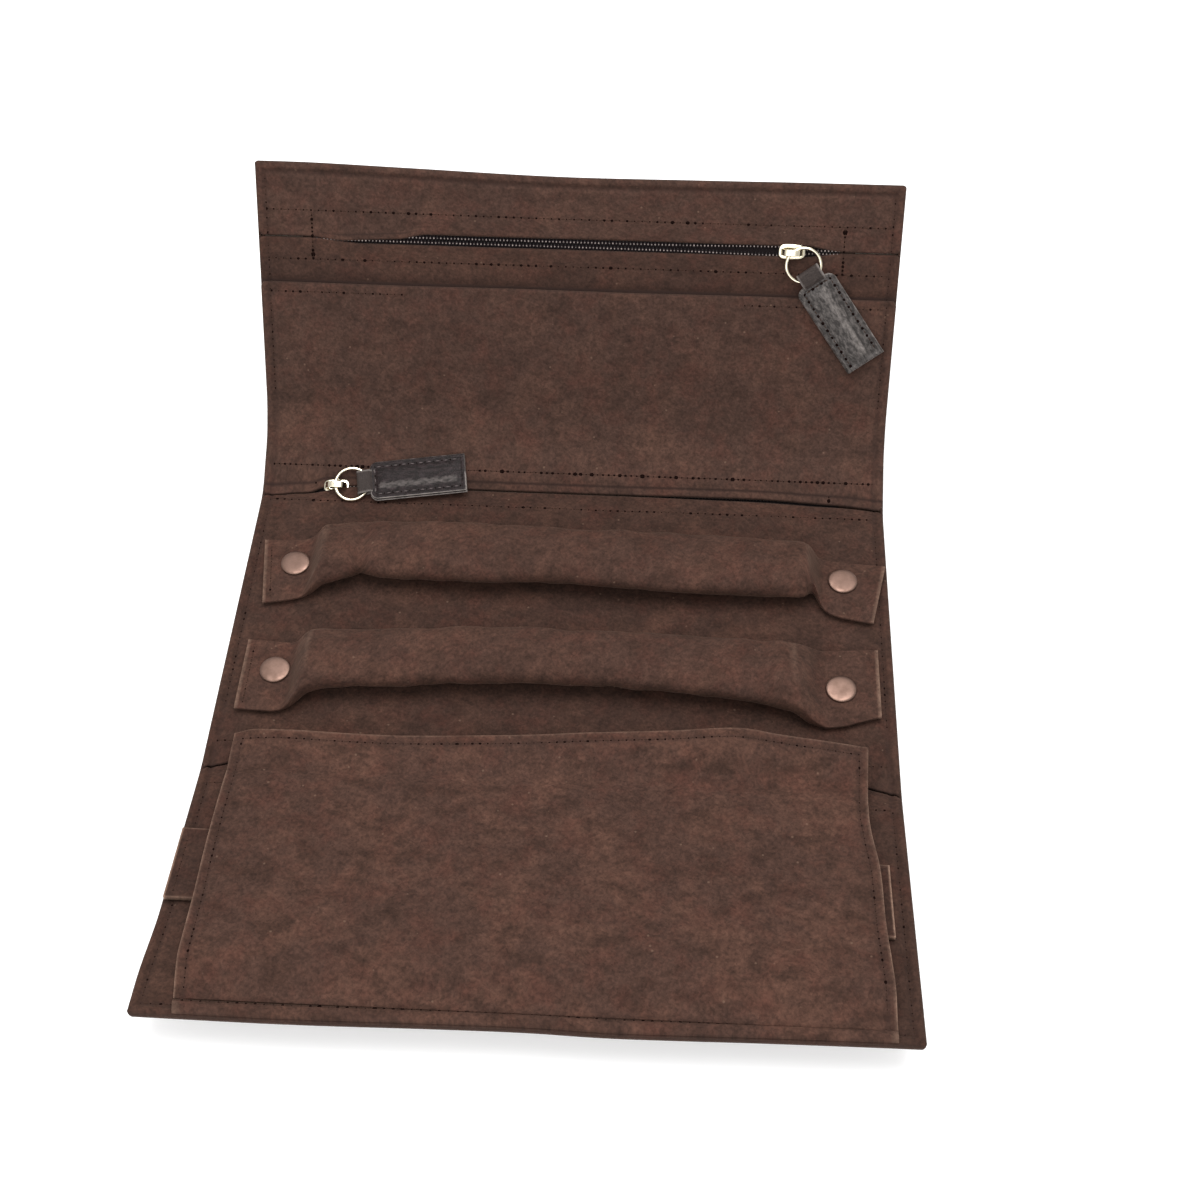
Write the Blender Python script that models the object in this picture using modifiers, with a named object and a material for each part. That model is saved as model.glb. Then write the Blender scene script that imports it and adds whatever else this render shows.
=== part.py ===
# A tri-fold jewelry roll, lying open. Metres, +Z up.
# The origin is the centre of the middle panel's underside. +X runs along the hinges,
# +Y points to the upper panel. Each panel is a cover, a stiff board, a pocket bag and a
# lining; two narrow spines join the panels, and fold with them.

import bmesh
import bpy
from math import cos, pi, radians, sin
from mathutils import Vector

# Folding panels, measured between their crease lines
roll_width = 0.265
middle_length = 0.1135
lower_spine_length = 0.024
lower_length = 0.1065
upper_spine_length = 0.032
upper_length = 0.108
lower_tilt = radians(9)
upper_spine_tilt = radians(27.5)
upper_tilt = radians(31.5)
corner_radius = 0.003

# Layers, from the outside in
cover_thickness = 0.0012
hem_width = 0.002
board_thickness = 0.0008
bag_ply = 0.00035
bag_seam = 0.003
lining_thickness = 0.001
fit_gap = 0.0003
crease_gap = 0.0003
overrun = 0.002
weld_distance = 0.00001

# Zips: a woven tape with two rows of coil teeth, and a slider that runs on the rows
zip_length = 0.218
zip_tape_width = 0.022
zip_tape_end = 0.006
zip_tape_thickness = 0.0005
zip_row_offset = 0.00185
zip_row_width = 0.0013
zip_row_height = 0.0013
zip_tooth_pitch = 0.0018
zip_tooth_depth = 0.0006
zip_stop = 0.002
zip_lip_half_gap = 0.0038
zip_1_from_top = 0.029
zip_2_from_crease = 0.006
zip_3_from_crease = 0.006

# Sliders
slider_length = 0.011
slider_width = 0.007
slider_tail_width = 0.0062
slider_top_thickness = 0.0009
slider_base_thickness = 0.0005
slider_post_width = 0.0018
slider_clearance = 0.00015
slider_corner = 0.00045
bridge_width = 0.0018
bridge_thickness = 0.0006
bridge_inner_length = 0.005
slider_1_from_end = 0.021
slider_2_from_end = 0.009
slider_3_from_end = 0.058

# Pulls: a wire ring in the slider's bridge, and a leather tab looped on the ring
ring_wire = 0.0014
ring_diameter = 0.0155
ring_lift = 0.0005
ring_sides = 6
ring_steps = 28
loop_width = 0.01
loop_strap = 0.0007
loop_fold = 0.0016
loop_slack = 0.00015
loop_swing = radians(20)
loop_tongue_thickness = 0.001
loop_tongue_depth = 0.006
pull_tab_length = 0.040
pull_tab_width = 0.017
pull_tab_thickness = 0.0026
pull_tab_edge = 0.0006
pull_1_ring_turn = radians(-45)
pull_1_tab_turn = radians(-9)
pull_2_ring_turn = radians(17)
pull_2_tab_turn = radians(-9)
pull_3_ring_turn = radians(22)
pull_3_tab_turn = radians(-20)

# Slip pocket on the upper panel
slip_mouth_below_zip = 0.019
slip_pocket_thickness = 0.0007
slip_pocket_gap = 0.00015

# Snap bars, and the flat band under the flap
bar_width = 0.031
bar_left_end = 0.126
bar_right_end = 0.128
bar_hinge = 0.104
bar_2_from_crease = 0.02175
bar_spacing = 0.0495
tab_lift = 0.00185
tab_thickness = 0.0014
pad_left_end = 0.0985
pad_right_end = 0.103
pad_width = 0.025
pad_height = 0.0125
pad_taper = 0.013
pad_pinch = 0.005
pad_arch = 0.002
pad_bow = 0.005
pad_facets = 16
pad_taper_steps = 6
pad_middle_steps = 12
pad_round_share = 2.3
tab_square_share = 8.0
band_from_crease = 0.048
band_left_end = 0.131
band_right_end = 0.1245
band_height = 0.0022

# Snaps: a domed cap riveted through the tab to its socket, over a stud on the panel
snap_from_centre = 0.1125
snap_diameter = 0.0121
snap_dome = 0.0009
snap_rim = 0.0003
snap_shank = 0.0030
snap_socket_diameter = 0.0084
snap_socket_wall = 0.0013
snap_roof = 0.00035
snap_knob_diameter = 0.0046
snap_knob_neck = 0.0036
snap_stud_disc = 0.0004
snap_gap = 0.00015
snap_facets = 20
snap_dome_steps = 4

# Flap over the lower panel, sewn down along the front edge
flap_width = 0.240
flap_thickness = 0.0014
flap_height = 0.0052
flap_root_from_crease = 0.1025
flap_ramp = 0.014
flap_bend_from_crease = 0.0052
flap_tip_length = 0.0178
flap_tip_rise = radians(17)
flap_wave = 0.0003
flap_corner = 0.004

# Sizes worked out from the ones above
bag_thickness = 2 * bag_ply + fit_gap
bag_top = -lining_thickness - fit_gap
panel_thickness = (
    cover_thickness + board_thickness + bag_thickness + lining_thickness + 3 * fit_gap
)
half_width = roll_width / 2
half_zip = zip_length / 2
half_tape = zip_tape_width / 2
zip_1_from_crease = upper_length - zip_1_from_top
slip_pocket_mouth = zip_1_from_crease - slip_mouth_below_zip
half_crease_gap = crease_gap / 2
tape_top = bag_top
tape_bottom = tape_top - zip_tape_thickness
row_inner = zip_row_offset - zip_row_width / 2
row_outer = zip_row_offset + zip_row_width / 2
row_top = tape_top + zip_row_height
slider_top = row_top + slider_clearance + slider_top_thickness
slider_bottom = tape_bottom - slider_clearance - slider_base_thickness
ring_radius = (ring_diameter - ring_wire) / 2
ring_height = slider_top + ring_lift + ring_wire / 2
ring_chord = (ring_radius**2 - (loop_width / 2) ** 2) ** 0.5
hold_radius = (ring_radius + ring_chord) / 2
bar_2_from_centre = bar_2_from_crease - middle_length / 2
bar_1_from_centre = bar_2_from_centre + bar_spacing

# Colours are linear, from the photograph
suede_colour = (0.088, 0.049, 0.037)
board_colour = (0.42, 0.40, 0.36)
satin_colour = (0.022, 0.016, 0.015)
leather_colour = (0.030, 0.024, 0.022)
nickel_colour = (0.80, 0.74, 0.62)
copper_colour = (0.42, 0.26, 0.20)

for old in list(bpy.data.objects):
    bpy.data.objects.remove(old, do_unlink=True)

roll = bpy.data.collections.new("jewelry_roll")
cutters = bpy.data.collections.new("cutters")
for collection in (roll, cutters):
    bpy.context.scene.collection.children.link(collection)


def finish_of(name, colour, roughness, metallic=0.0):
    material = bpy.data.materials.new(name)
    material.use_nodes = True
    shader = material.node_tree.nodes["Principled BSDF"]
    shader.inputs["Base Color"].default_value = (*colour, 1)
    shader.inputs["Roughness"].default_value = roughness
    shader.inputs["Metallic"].default_value = metallic
    return material


finishes = {
    "suede": (suede_colour, 0.95, 0.0),
    "board": (board_colour, 0.9, 0.0),
    "satin": (satin_colour, 0.6, 0.0),
    "leather": (leather_colour, 0.4, 0.0),
    "nickel": (nickel_colour, 0.25, 1.0),
    "copper": (copper_colour, 0.35, 1.0),
}


def pivot(name, parent, location, turn=(0, 0, 0)):
    # An empty on a joint's axis, which carries what turns there
    empty = bpy.data.objects.new(name, None)
    roll.objects.link(empty)
    empty.parent = parent
    empty.location = location
    empty.rotation_euler = turn
    return empty


def piece(name, mesh, parent, finish, location=(0, 0, 0)):
    obj = bpy.data.objects.new(name, mesh)
    roll.objects.link(obj)
    obj.parent = parent
    obj.location = location
    mesh.materials.append(finish_of(name, *finishes[finish]))
    return obj


def mesh_from(bm, name):
    mesh = bpy.data.meshes.new(name)
    bm.to_mesh(mesh)
    bm.free()
    return mesh


def block_shape(x, y, z, rounded_ends=()):
    # A box from its ranges, with the upright corners rounded at the given ends of y
    bm = bmesh.new()
    bmesh.ops.create_cube(bm, size=1)
    lows = Vector((x[0], y[0], z[0]))
    sizes = Vector((x[1], y[1], z[1])) - lows
    bmesh.ops.scale(bm, vec=sizes, verts=bm.verts)
    bmesh.ops.translate(bm, vec=lows + sizes / 2, verts=bm.verts)
    for end in rounded_ends:
        middle = sum(y) / 2
        corners = [
            edge
            for edge in bm.edges
            if all((v.co.y - middle) * (end - middle) > 0 for v in edge.verts)
            and abs(edge.verts[0].co.z - edge.verts[1].co.z) > sizes.z / 2
        ]
        bmesh.ops.bevel(
            bm,
            geom=corners,
            offset=corner_radius,
            segments=3,
            affect="EDGES",
            profile=0.5,
            material=-1,
        )
    return bm


def block(name, x, y, z, parent, finish, rounded_ends=()):
    return piece(name, mesh_from(block_shape(x, y, z, rounded_ends), name), parent, finish)


def add_cutter(name, mesh, parent, location=(0, 0, 0)):
    obj = bpy.data.objects.new(name, mesh)
    cutters.objects.link(obj)
    obj.parent = parent
    obj.location = location
    obj.hide_render = True
    obj.display_type = "WIRE"
    return obj


def block_cutter(name, x, y, z, parent, location=(0, 0, 0)):
    return add_cutter(name, mesh_from(block_shape(x, y, z), name), parent, location)


def round_cutter(name, radius, z, parent, location):
    bm = bmesh.new()
    bmesh.ops.create_cone(
        bm,
        cap_ends=True,
        segments=snap_facets,
        radius1=radius,
        radius2=radius,
        depth=z[1] - z[0],
    )
    bmesh.ops.translate(bm, vec=(0, 0, sum(z) / 2), verts=bm.verts)
    return add_cutter(name, mesh_from(bm, name), parent, location)


def combine(obj, other, operation="DIFFERENCE"):
    modifier = obj.modifiers.new(other.name, "BOOLEAN")
    modifier.operation = operation
    modifier.solver = "EXACT"
    modifier.object = other


def spread(direction, near, far):
    # The range of y between two distances from a crease, on the side that direction names
    return tuple(sorted((direction * near, direction * far)))


# Panels and spines. In each one's own frame the crease nearest the middle is at y = 0,
# the lining's face is at z = 0, and direction says which way it runs.
middle = pivot("middle_frame", None, (0, 0, panel_thickness))
lower_spine = pivot("lower_fold_axis", middle, (0, -middle_length / 2, 0))
lower_panel = pivot(
    "lower_crease_axis",
    lower_spine,
    (0, -lower_spine_length, 0),
    (-lower_tilt, 0, 0),
)
upper_spine = pivot(
    "upper_fold_axis",
    middle,
    (0, middle_length / 2, 0),
    (upper_spine_tilt, 0, 0),
)
upper_panel = pivot(
    "upper_crease_axis",
    upper_spine,
    (0, upper_spine_length, 0),
    (upper_tilt, 0, 0),
)


def cover(name, parent, y, hems=(), rounded_ends=()):
    # The outer shell: its sides, and the ends that hems names, are turned up round the board
    outer = (-half_width, half_width)
    shell = block(name, outer, y, (-panel_thickness, bag_top), parent, "suede", rounded_ends)
    inner_y = [
        end - step if end in hems else end + step / hem_width * overrun
        for end, step in zip(y, (-hem_width, hem_width))
    ]
    tray = block_cutter(
        name + "_tray",
        (-half_width + hem_width, half_width - hem_width),
        inner_y,
        (-panel_thickness + cover_thickness, overrun),
        parent,
    )
    combine(shell, tray)
    return shell


def board(name, parent, y):
    low = -panel_thickness + cover_thickness + fit_gap
    side = half_width - hem_width - fit_gap
    return block(name, (-side, side), y, (low, low + board_thickness), parent, "board")


def bag(name, parent, y, mouth):
    # A flat bag of two plies, sewn on three sides and open at its mouth
    half = (zip_length + zip_tape_end) / 2
    low = bag_top - bag_thickness
    flat = block(name, (-half, half), y, (low, bag_top), parent, "satin")
    inside_y = [
        end + (overrun if end > sum(y) / 2 else -overrun) if end == mouth
        else end + (bag_seam if end < sum(y) / 2 else -bag_seam)
        for end in y
    ]
    inside = block_cutter(
        name + "_inside",
        (-half + bag_seam, half - bag_seam),
        inside_y,
        (low + bag_ply, bag_top - bag_ply),
        parent,
    )
    combine(flat, inside)
    return flat


def lining(name, parent, y, zip_y=None, rounded_ends=(), top=0.0, thickness=lining_thickness):
    sheet = block(
        name, (-half_width, half_width), y, (top - thickness, top), parent, "suede", rounded_ends
    )
    if zip_y is not None:
        slot = block_cutter(
            name + "_slot",
            (-half_zip, half_zip),
            (zip_y - zip_lip_half_gap, zip_y + zip_lip_half_gap),
            (-lining_thickness - overrun, overrun),
            parent,
        )
        combine(sheet, slot)
    return sheet


# Middle panel
middle_y = (-middle_length / 2 + half_crease_gap, middle_length / 2 - half_crease_gap)
inner_middle_y = (middle_y[0] + hem_width, middle_y[1] - hem_width)
cover("middle_cover", middle, middle_y)
board("middle_board", middle, inner_middle_y)
bag("zip_2_bag", middle, inner_middle_y, inner_middle_y[1])
lining("middle_lining", middle, middle_y)

# Lower spine and lower panel
spine_y = spread(-1, half_crease_gap, lower_spine_length - half_crease_gap)
zip_3_y = zip_3_from_crease - lower_spine_length
cover("lower_spine_cover", lower_spine, spine_y)
lining("lower_spine_lining", lower_spine, spine_y, zip_3_y)
lower_y = spread(-1, half_crease_gap, lower_length)
inner_lower_y = spread(-1, half_crease_gap + hem_width, lower_length - hem_width - fit_gap)
cover("lower_cover", lower_panel, lower_y, (lower_y[0],), (lower_y[0],))
board("lower_board", lower_panel, inner_lower_y)
bag("zip_3_bag", lower_panel, inner_lower_y, inner_lower_y[1])
lining("lower_lining", lower_panel, lower_y, None, (lower_y[0],))

# Upper spine and upper panel
spine_y = spread(1, half_crease_gap, upper_spine_length - half_crease_gap)
cover("upper_spine_cover", upper_spine, spine_y)
lining("upper_spine_lining", upper_spine, spine_y, zip_2_from_crease)
upper_y = spread(1, half_crease_gap, upper_length)
inner_upper_y = spread(1, half_crease_gap + hem_width, upper_length - hem_width - fit_gap)
zip_1_bag_top = zip_1_from_crease - zip_tape_width / 2 - fit_gap
cover("upper_cover", upper_panel, upper_y, (upper_y[1],), (upper_y[1],))
board("upper_board", upper_panel, inner_upper_y)
bag("zip_1_bag", upper_panel, (inner_upper_y[0], zip_1_bag_top), zip_1_bag_top)
lining(
    "upper_lining_top",
    upper_panel,
    (zip_1_from_crease + fit_gap / 2, upper_y[1]),
    zip_1_from_crease,
    (upper_y[1],),
)
lining(
    "upper_zip_facing",
    upper_panel,
    (upper_y[0], zip_1_from_crease - fit_gap / 2),
    zip_1_from_crease,
)
lining(
    "slip_pocket",
    upper_panel,
    (upper_y[0] + slip_pocket_thickness, slip_pocket_mouth),
    None,
    (),
    slip_pocket_gap + slip_pocket_thickness,
    slip_pocket_thickness,
)


def toothed_row(name, parent, zip_y, side):
    # One row of teeth along the zip. Their points face the other row across the middle.
    row_end = half_zip - fit_gap
    count = int(2 * row_end / zip_tooth_pitch)
    step = 2 * row_end / count
    outline = [(-row_end, row_outer), (-row_end, row_inner + zip_tooth_depth)]
    for k in range(count):
        root = -row_end + step * k
        outline += [(root + step / 2, row_inner), (root + step, row_inner + zip_tooth_depth)]
    outline.append((row_end, row_outer))
    low = tape_bottom + zip_tape_thickness / 2
    bm = bmesh.new()
    face = bm.faces.new([bm.verts.new((x, zip_y + side * y, low)) for x, y in outline])
    raised = bmesh.ops.extrude_face_region(bm, geom=[face])
    top = [item for item in raised["geom"] if isinstance(item, bmesh.types.BMVert)]
    bmesh.ops.translate(bm, vec=(0, 0, row_top - low), verts=top)
    bmesh.ops.recalc_face_normals(bm, faces=bm.faces)
    return add_cutter(name, mesh_from(bm, name), parent)


def zip_chain(name, parent, zip_y, tape_y):
    # Both tapes and their rows of teeth as one piece, joined at the ends
    half = half_zip + zip_tape_end
    tape = block(name, (-half, half), tape_y, (tape_bottom, tape_top), parent, "satin")
    gap = block_cutter(
        name + "_gap",
        (-half_zip + zip_stop, half_zip - zip_stop),
        (zip_y - zip_row_offset, zip_y + zip_row_offset),
        (tape_bottom - overrun, tape_top + overrun),
        parent,
    )
    combine(tape, gap)
    for side, label in ((-1, "_row_below"), (1, "_row_above")):
        combine(tape, toothed_row(name + label, parent, zip_y, side), "UNION")
    return tape


zip_chain(
    "zip_1_chain",
    upper_panel,
    zip_1_from_crease,
    (zip_1_from_crease - half_tape, zip_1_from_crease + half_tape),
)
zip_chain(
    "zip_2_chain",
    upper_spine,
    zip_2_from_crease,
    (crease_gap, zip_2_from_crease + half_tape),
)
zip_chain(
    "zip_3_chain",
    lower_spine,
    zip_3_y,
    (-lower_spine_length + crease_gap, zip_3_y + half_tape),
)


def slider(name, parent, location, tail):
    # Top and base plates joined by the post that parts the rows, with a bridge on top.
    # It narrows to its tail, which faces the closed part of the zip: tail is -1 or 1.
    half_length = slider_length / 2
    half = slider_width / 2
    bm = block_shape((-half_length, half_length), (-half, half), (slider_bottom, slider_top))
    tail_end = [vert for vert in bm.verts if vert.co.x * tail > 0]
    bmesh.ops.scale(bm, vec=(1, slider_tail_width / slider_width, 1), verts=tail_end)
    body = piece(name, mesh_from(bm, name), parent, "nickel", location)
    corners = body.modifiers.new("corners", "BEVEL")
    corners.width = slider_corner
    corners.segments = 2
    corners.limit_method = "ANGLE"
    for side, label in ((-1, "_low"), (1, "_high")):
        row = sorted(side * y for y in (slider_post_width / 2, row_outer + fit_gap))
        edge = sorted(side * y for y in (row_outer, half + overrun))
        combine(
            body,
            block_cutter(
                name + "_row" + label,
                (-half_length - overrun, half_length + overrun),
                row,
                (tape_bottom - slider_clearance, row_top + slider_clearance),
                parent,
                location,
            ),
        )
        combine(
            body,
            block_cutter(
                name + "_edge" + label,
                (-half_length - overrun, half_length + overrun),
                edge,
                (tape_bottom - slider_clearance, tape_top + slider_clearance),
                parent,
                location,
            ),
        )
    inner = bridge_inner_length / 2
    under = slider_top + ring_lift + ring_wire + slider_clearance
    bridge = block_cutter(
        name + "_bridge",
        (-inner - bridge_thickness, inner + bridge_thickness),
        (-bridge_width / 2, bridge_width / 2),
        (slider_top - slider_top_thickness / 2, under + bridge_thickness),
        parent,
        location,
    )
    opening = block_cutter(
        name + "_opening",
        (-inner, inner),
        (-bridge_width, bridge_width),
        (slider_top, under),
        parent,
        location,
    )
    combine(body, bridge, "UNION")
    combine(body, opening)
    return body


def ring(name, parent):
    bm = bmesh.new()
    profile = bmesh.ops.create_circle(
        bm, cap_ends=False, segments=ring_sides, radius=ring_wire / 2
    )
    for vert in profile["verts"]:
        vert.co = Vector((ring_radius + vert.co.x, 0, vert.co.y))
    bmesh.ops.spin(
        bm,
        geom=bm.verts[:] + bm.edges[:],
        cent=(0, 0, 0),
        axis=(0, 0, 1),
        angle=2 * pi,
        steps=ring_steps,
        use_merge=True,
    )
    bmesh.ops.translate(bm, vec=(ring_radius, 0, 0), verts=bm.verts)
    bmesh.ops.recalc_face_normals(bm, faces=bm.faces)
    mesh = mesh_from(bm, name)
    mesh.shade_smooth()
    return piece(name, mesh, parent, "nickel")


def pull_loop(name, parent):
    # A strap folded round the ring's wire, with its tongue sewn into the tab.
    # The ring curves across the strap's width, so the eye is longer than the wire, and
    # high enough for the strap to swing about the middle of that curve.
    half = loop_width / 2
    eye_half = ring_wire / 2 + loop_slack + (ring_radius - hold_radius) * sin(loop_swing)
    room = ring_wire / 2 + loop_slack
    eye_x = (
        ((ring_radius - room) ** 2 - half**2) ** 0.5 - hold_radius,
        ring_radius + room - hold_radius,
    )
    outer_half = eye_half + loop_strap
    back = eye_x[1] + loop_strap
    strap = block(
        name,
        (eye_x[0] - loop_fold, back),
        (-half, half),
        (-outer_half, outer_half),
        parent,
        "leather",
    )
    rounding = strap.modifiers.new("rounding", "BEVEL")
    rounding.width = outer_half / 2
    rounding.segments = 3
    rounding.limit_method = "ANGLE"
    tongue = block_cutter(
        name + "_tongue",
        (back - loop_strap / 2, back + loop_tongue_depth),
        (-half + loop_strap, half - loop_strap),
        (-loop_tongue_thickness / 2, loop_tongue_thickness / 2),
        parent,
    )
    eye = block_cutter(
        name + "_eye", eye_x, (-half - overrun, half + overrun), (-eye_half, eye_half), parent
    )
    combine(strap, tongue, "UNION")
    combine(strap, eye)
    return back + fit_gap


def pull_tab(name, parent, start):
    # Two plies of leather with a rounded edge and a slit that takes the loop's tongue
    half = pull_tab_width / 2
    thick = pull_tab_thickness / 2
    body = block(
        name,
        (start, start + pull_tab_length),
        (-half, half),
        (-thick, thick),
        parent,
        "leather",
    )
    rounding = body.modifiers.new("rounding", "BEVEL")
    rounding.width = pull_tab_edge
    rounding.segments = 2
    rounding.limit_method = "ANGLE"
    slit = block_cutter(
        name + "_slit",
        (start - overrun, start + loop_tongue_depth),
        (-loop_width / 2, loop_width / 2),
        (
            -loop_tongue_thickness / 2 - slider_clearance,
            loop_tongue_thickness / 2 + slider_clearance,
        ),
        parent,
    )
    combine(body, slit)
    return body


def pull(number, parent, location, tail, ring_turn, tab_turn):
    # The slider runs along X; the ring turns in its bridge, and the tab on the ring,
    # where tab_turn leads round it from the point opposite the bridge
    slider(f"slider_{number}", parent, location, tail)
    ring_axis = pivot(
        f"ring_{number}_axis",
        parent,
        (location[0], location[1], ring_height),
        (0, 0, ring_turn),
    )
    ring(f"ring_{number}", ring_axis)
    hold = (ring_radius + hold_radius * cos(tab_turn), hold_radius * sin(tab_turn), 0)
    tab_axis = pivot(f"pull_{number}_axis", ring_axis, hold, (0, 0, tab_turn))
    start = pull_loop(f"pull_loop_{number}", tab_axis)
    pull_tab(f"pull_tab_{number}", tab_axis, start)


pull(
    1,
    upper_panel,
    (half_zip - slider_1_from_end, zip_1_from_crease, 0),
    1,
    pull_1_ring_turn,
    pull_1_tab_turn,
)
pull(
    2,
    upper_spine,
    (slider_2_from_end - half_zip, zip_2_from_crease, 0),
    -1,
    pull_2_ring_turn,
    pull_2_tab_turn,
)
pull(
    3,
    lower_spine,
    (half_zip - slider_3_from_end, zip_3_y, 0),
    1,
    pull_3_ring_turn,
    pull_3_tab_turn,
)


def smooth(share):
    share = min(max(share, 0.0), 1.0)
    return share * share * (3 - 2 * share)


def section(x, centre_y, centre_z, half_y, half_z, roundness):
    # One closed section of a bar: a rounded oblong where it is thin, an oval where it is full
    points = []
    for k in range(pad_facets):
        angle = 2 * pi * (k + 0.5) / pad_facets
        out_y = abs(cos(angle)) ** (2 / roundness)
        out_z = abs(sin(angle)) ** (2 / roundness)
        points.append(
            (
                x,
                centre_y + half_y * (out_y if cos(angle) > 0 else -out_y),
                centre_z + half_z * (out_z if sin(angle) > 0 else -out_z),
            )
        )
    return points


def lofted(name, sections, parent, finish):
    # A skin over the sections, closed at both ends
    bm = bmesh.new()
    loops = [[bm.verts.new(point) for point in points] for points in sections]
    count = len(loops[0])
    for first, second in zip(loops, loops[1:]):
        for k in range(count):
            after = (k + 1) % count
            bm.faces.new((first[k], first[after], second[after], second[k]))
    bm.faces.new(loops[0])
    bm.faces.new(loops[-1])
    bmesh.ops.recalc_face_normals(bm, faces=bm.faces)
    mesh = mesh_from(bm, name)
    mesh.shade_smooth()
    return piece(name, mesh, parent, finish)


def strap(name, parent, end_x, full_height, full_width, arch, bow):
    # A bar or band that swings up from its left end. Its frame's origin is on the axis, at
    # the tab's upper face, and x runs to the right. Between the tabs it is padded.
    length = end_x + bar_hinge
    start = half_crease_gap
    full_from = bar_hinge - pad_left_end
    full_to = pad_right_end + bar_hinge
    # Sections close together over the two tapers, and wider apart along the pad
    inner_from = full_from + pad_taper
    inner_to = full_to - pad_taper
    places = [start, length]
    for k in range(pad_taper_steps + 1):
        step = pad_taper * k / pad_taper_steps
        places += [full_from + step, full_to - step]
    for k in range(1, pad_middle_steps):
        places.append(inner_from + (inner_to - inner_from) * k / pad_middle_steps)
    sections = []
    for x in sorted(places):
        fill = smooth((x - full_from) / pad_taper) * smooth((full_to - x) / pad_taper)
        middle_share = sin(pi * min(max((x - full_from) / (full_to - full_from), 0.0), 1.0))
        height = tab_thickness + fill * (full_height - tab_thickness)
        pinch = sin(pi * fill) * pad_pinch
        width = bar_width + fill * (full_width - bar_width) - pinch
        bottom = -tab_thickness + middle_share * arch
        roundness = tab_square_share + fill * (pad_round_share - tab_square_share)
        sections.append(
            section(
                x,
                middle_share * bow,
                bottom + height / 2,
                width / 2,
                height / 2,
                roundness,
            )
        )
    return lofted(name, sections, parent, "suede")


def turned(name, profile, parent, location, finish):
    # A round piece turned about Z from (radius, height) points, listed from the top down
    bm = bmesh.new()
    verts = [bm.verts.new((radius, 0, height)) for radius, height in profile]
    for first, second in zip(verts, verts[1:]):
        bm.edges.new((first, second))
    obj = piece(name, mesh_from(bm, name), parent, finish, location)
    screw = obj.modifiers.new("turn", "SCREW")
    screw.axis = "Z"
    screw.angle = 2 * pi
    screw.steps = snap_facets
    screw.render_steps = snap_facets
    screw.use_merge_vertices = True
    screw.merge_threshold = weld_distance
    screw.use_smooth_shade = True
    return obj


# Heights in a snap, above the panel's face
disc_top = snap_gap + snap_stud_disc
socket_low = disc_top + snap_gap
roof_top = tab_lift - snap_gap
roof_low = roof_top - snap_roof
knob_top = roof_low - snap_gap
tab_top = tab_lift + tab_thickness
rim_low = tab_top + snap_gap


def snap_cap(name, parent, location, base):
    # base is the height of the frame's origin above the panel's face
    radius = snap_diameter / 2
    profile = []
    for k in range(snap_dome_steps + 1):
        angle = pi / 2 * k / snap_dome_steps
        profile.append((radius * sin(angle), rim_low + snap_rim + snap_dome * cos(angle)))
    socket = snap_socket_diameter / 2
    profile += [
        (radius, rim_low),
        (snap_shank / 2, rim_low),
        (snap_shank / 2, roof_top),
        (socket, roof_top),
        (socket, socket_low),
        (socket - snap_socket_wall, socket_low),
        (socket - snap_socket_wall, roof_low),
        (0, roof_low),
    ]
    heights = [(r, z - base) for r, z in profile]
    return turned(name, heights, parent, location, "copper")


def snap_stud(name, parent, location):
    socket = snap_socket_diameter / 2
    knob = snap_knob_diameter / 2
    neck = snap_knob_neck / 2
    profile = [
        (0, knob_top),
        (neck, knob_top),
        (knob, (knob_top + disc_top) / 2),
        (neck, disc_top),
        (socket, disc_top),
        (socket, snap_gap),
        (0, snap_gap),
    ]
    return turned(name, profile, parent, location, "copper")


def shank_hole(obj, parent, location, low, high):
    radius = snap_shank / 2 + snap_gap
    cutter = round_cutter(obj.name + "_shank_hole", radius, (low, high), parent, location)
    combine(obj, cutter)


def snapped_strap(name, parent, centre_y, ends, full_height, full_width, arch, bow):
    # The sewn left tab with its snap, the strap that swings up from it, and the right snap
    left_end, right_end = ends
    left_tab = block(
        name + "_left_tab",
        (-left_end, -bar_hinge - half_crease_gap),
        (centre_y - bar_width / 2, centre_y + bar_width / 2),
        (tab_lift, tab_top),
        parent,
        "suede",
    )
    left = (-snap_from_centre, centre_y, 0)
    right = (snap_from_centre, centre_y, 0)
    shank_hole(left_tab, parent, left, tab_lift - overrun, tab_top + overrun)
    snap_cap(name + "_left_cap", parent, left, 0)
    snap_stud(name + "_left_stud", parent, left)
    snap_stud(name + "_right_stud", parent, right)
    axis = pivot(name + "_axis", parent, (-bar_hinge, centre_y, tab_top))
    moving = strap(name, axis, right_end, full_height, full_width, arch, bow)
    reach = (snap_from_centre + bar_hinge, 0, 0)
    shank_hole(moving, axis, reach, -tab_thickness - overrun, overrun)
    snap_cap(name + "_right_cap", axis, reach, tab_top)


bar_ends = (bar_left_end, bar_right_end)
for name, centre_y in (("bar_1", bar_1_from_centre), ("bar_2", bar_2_from_centre)):
    snapped_strap(name, middle, centre_y, bar_ends, pad_height, pad_width, pad_arch, pad_bow)
snapped_strap(
    "band",
    lower_panel,
    -band_from_crease,
    (band_left_end, band_right_end),
    band_height,
    bar_width,
    0,
    0,
)


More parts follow.
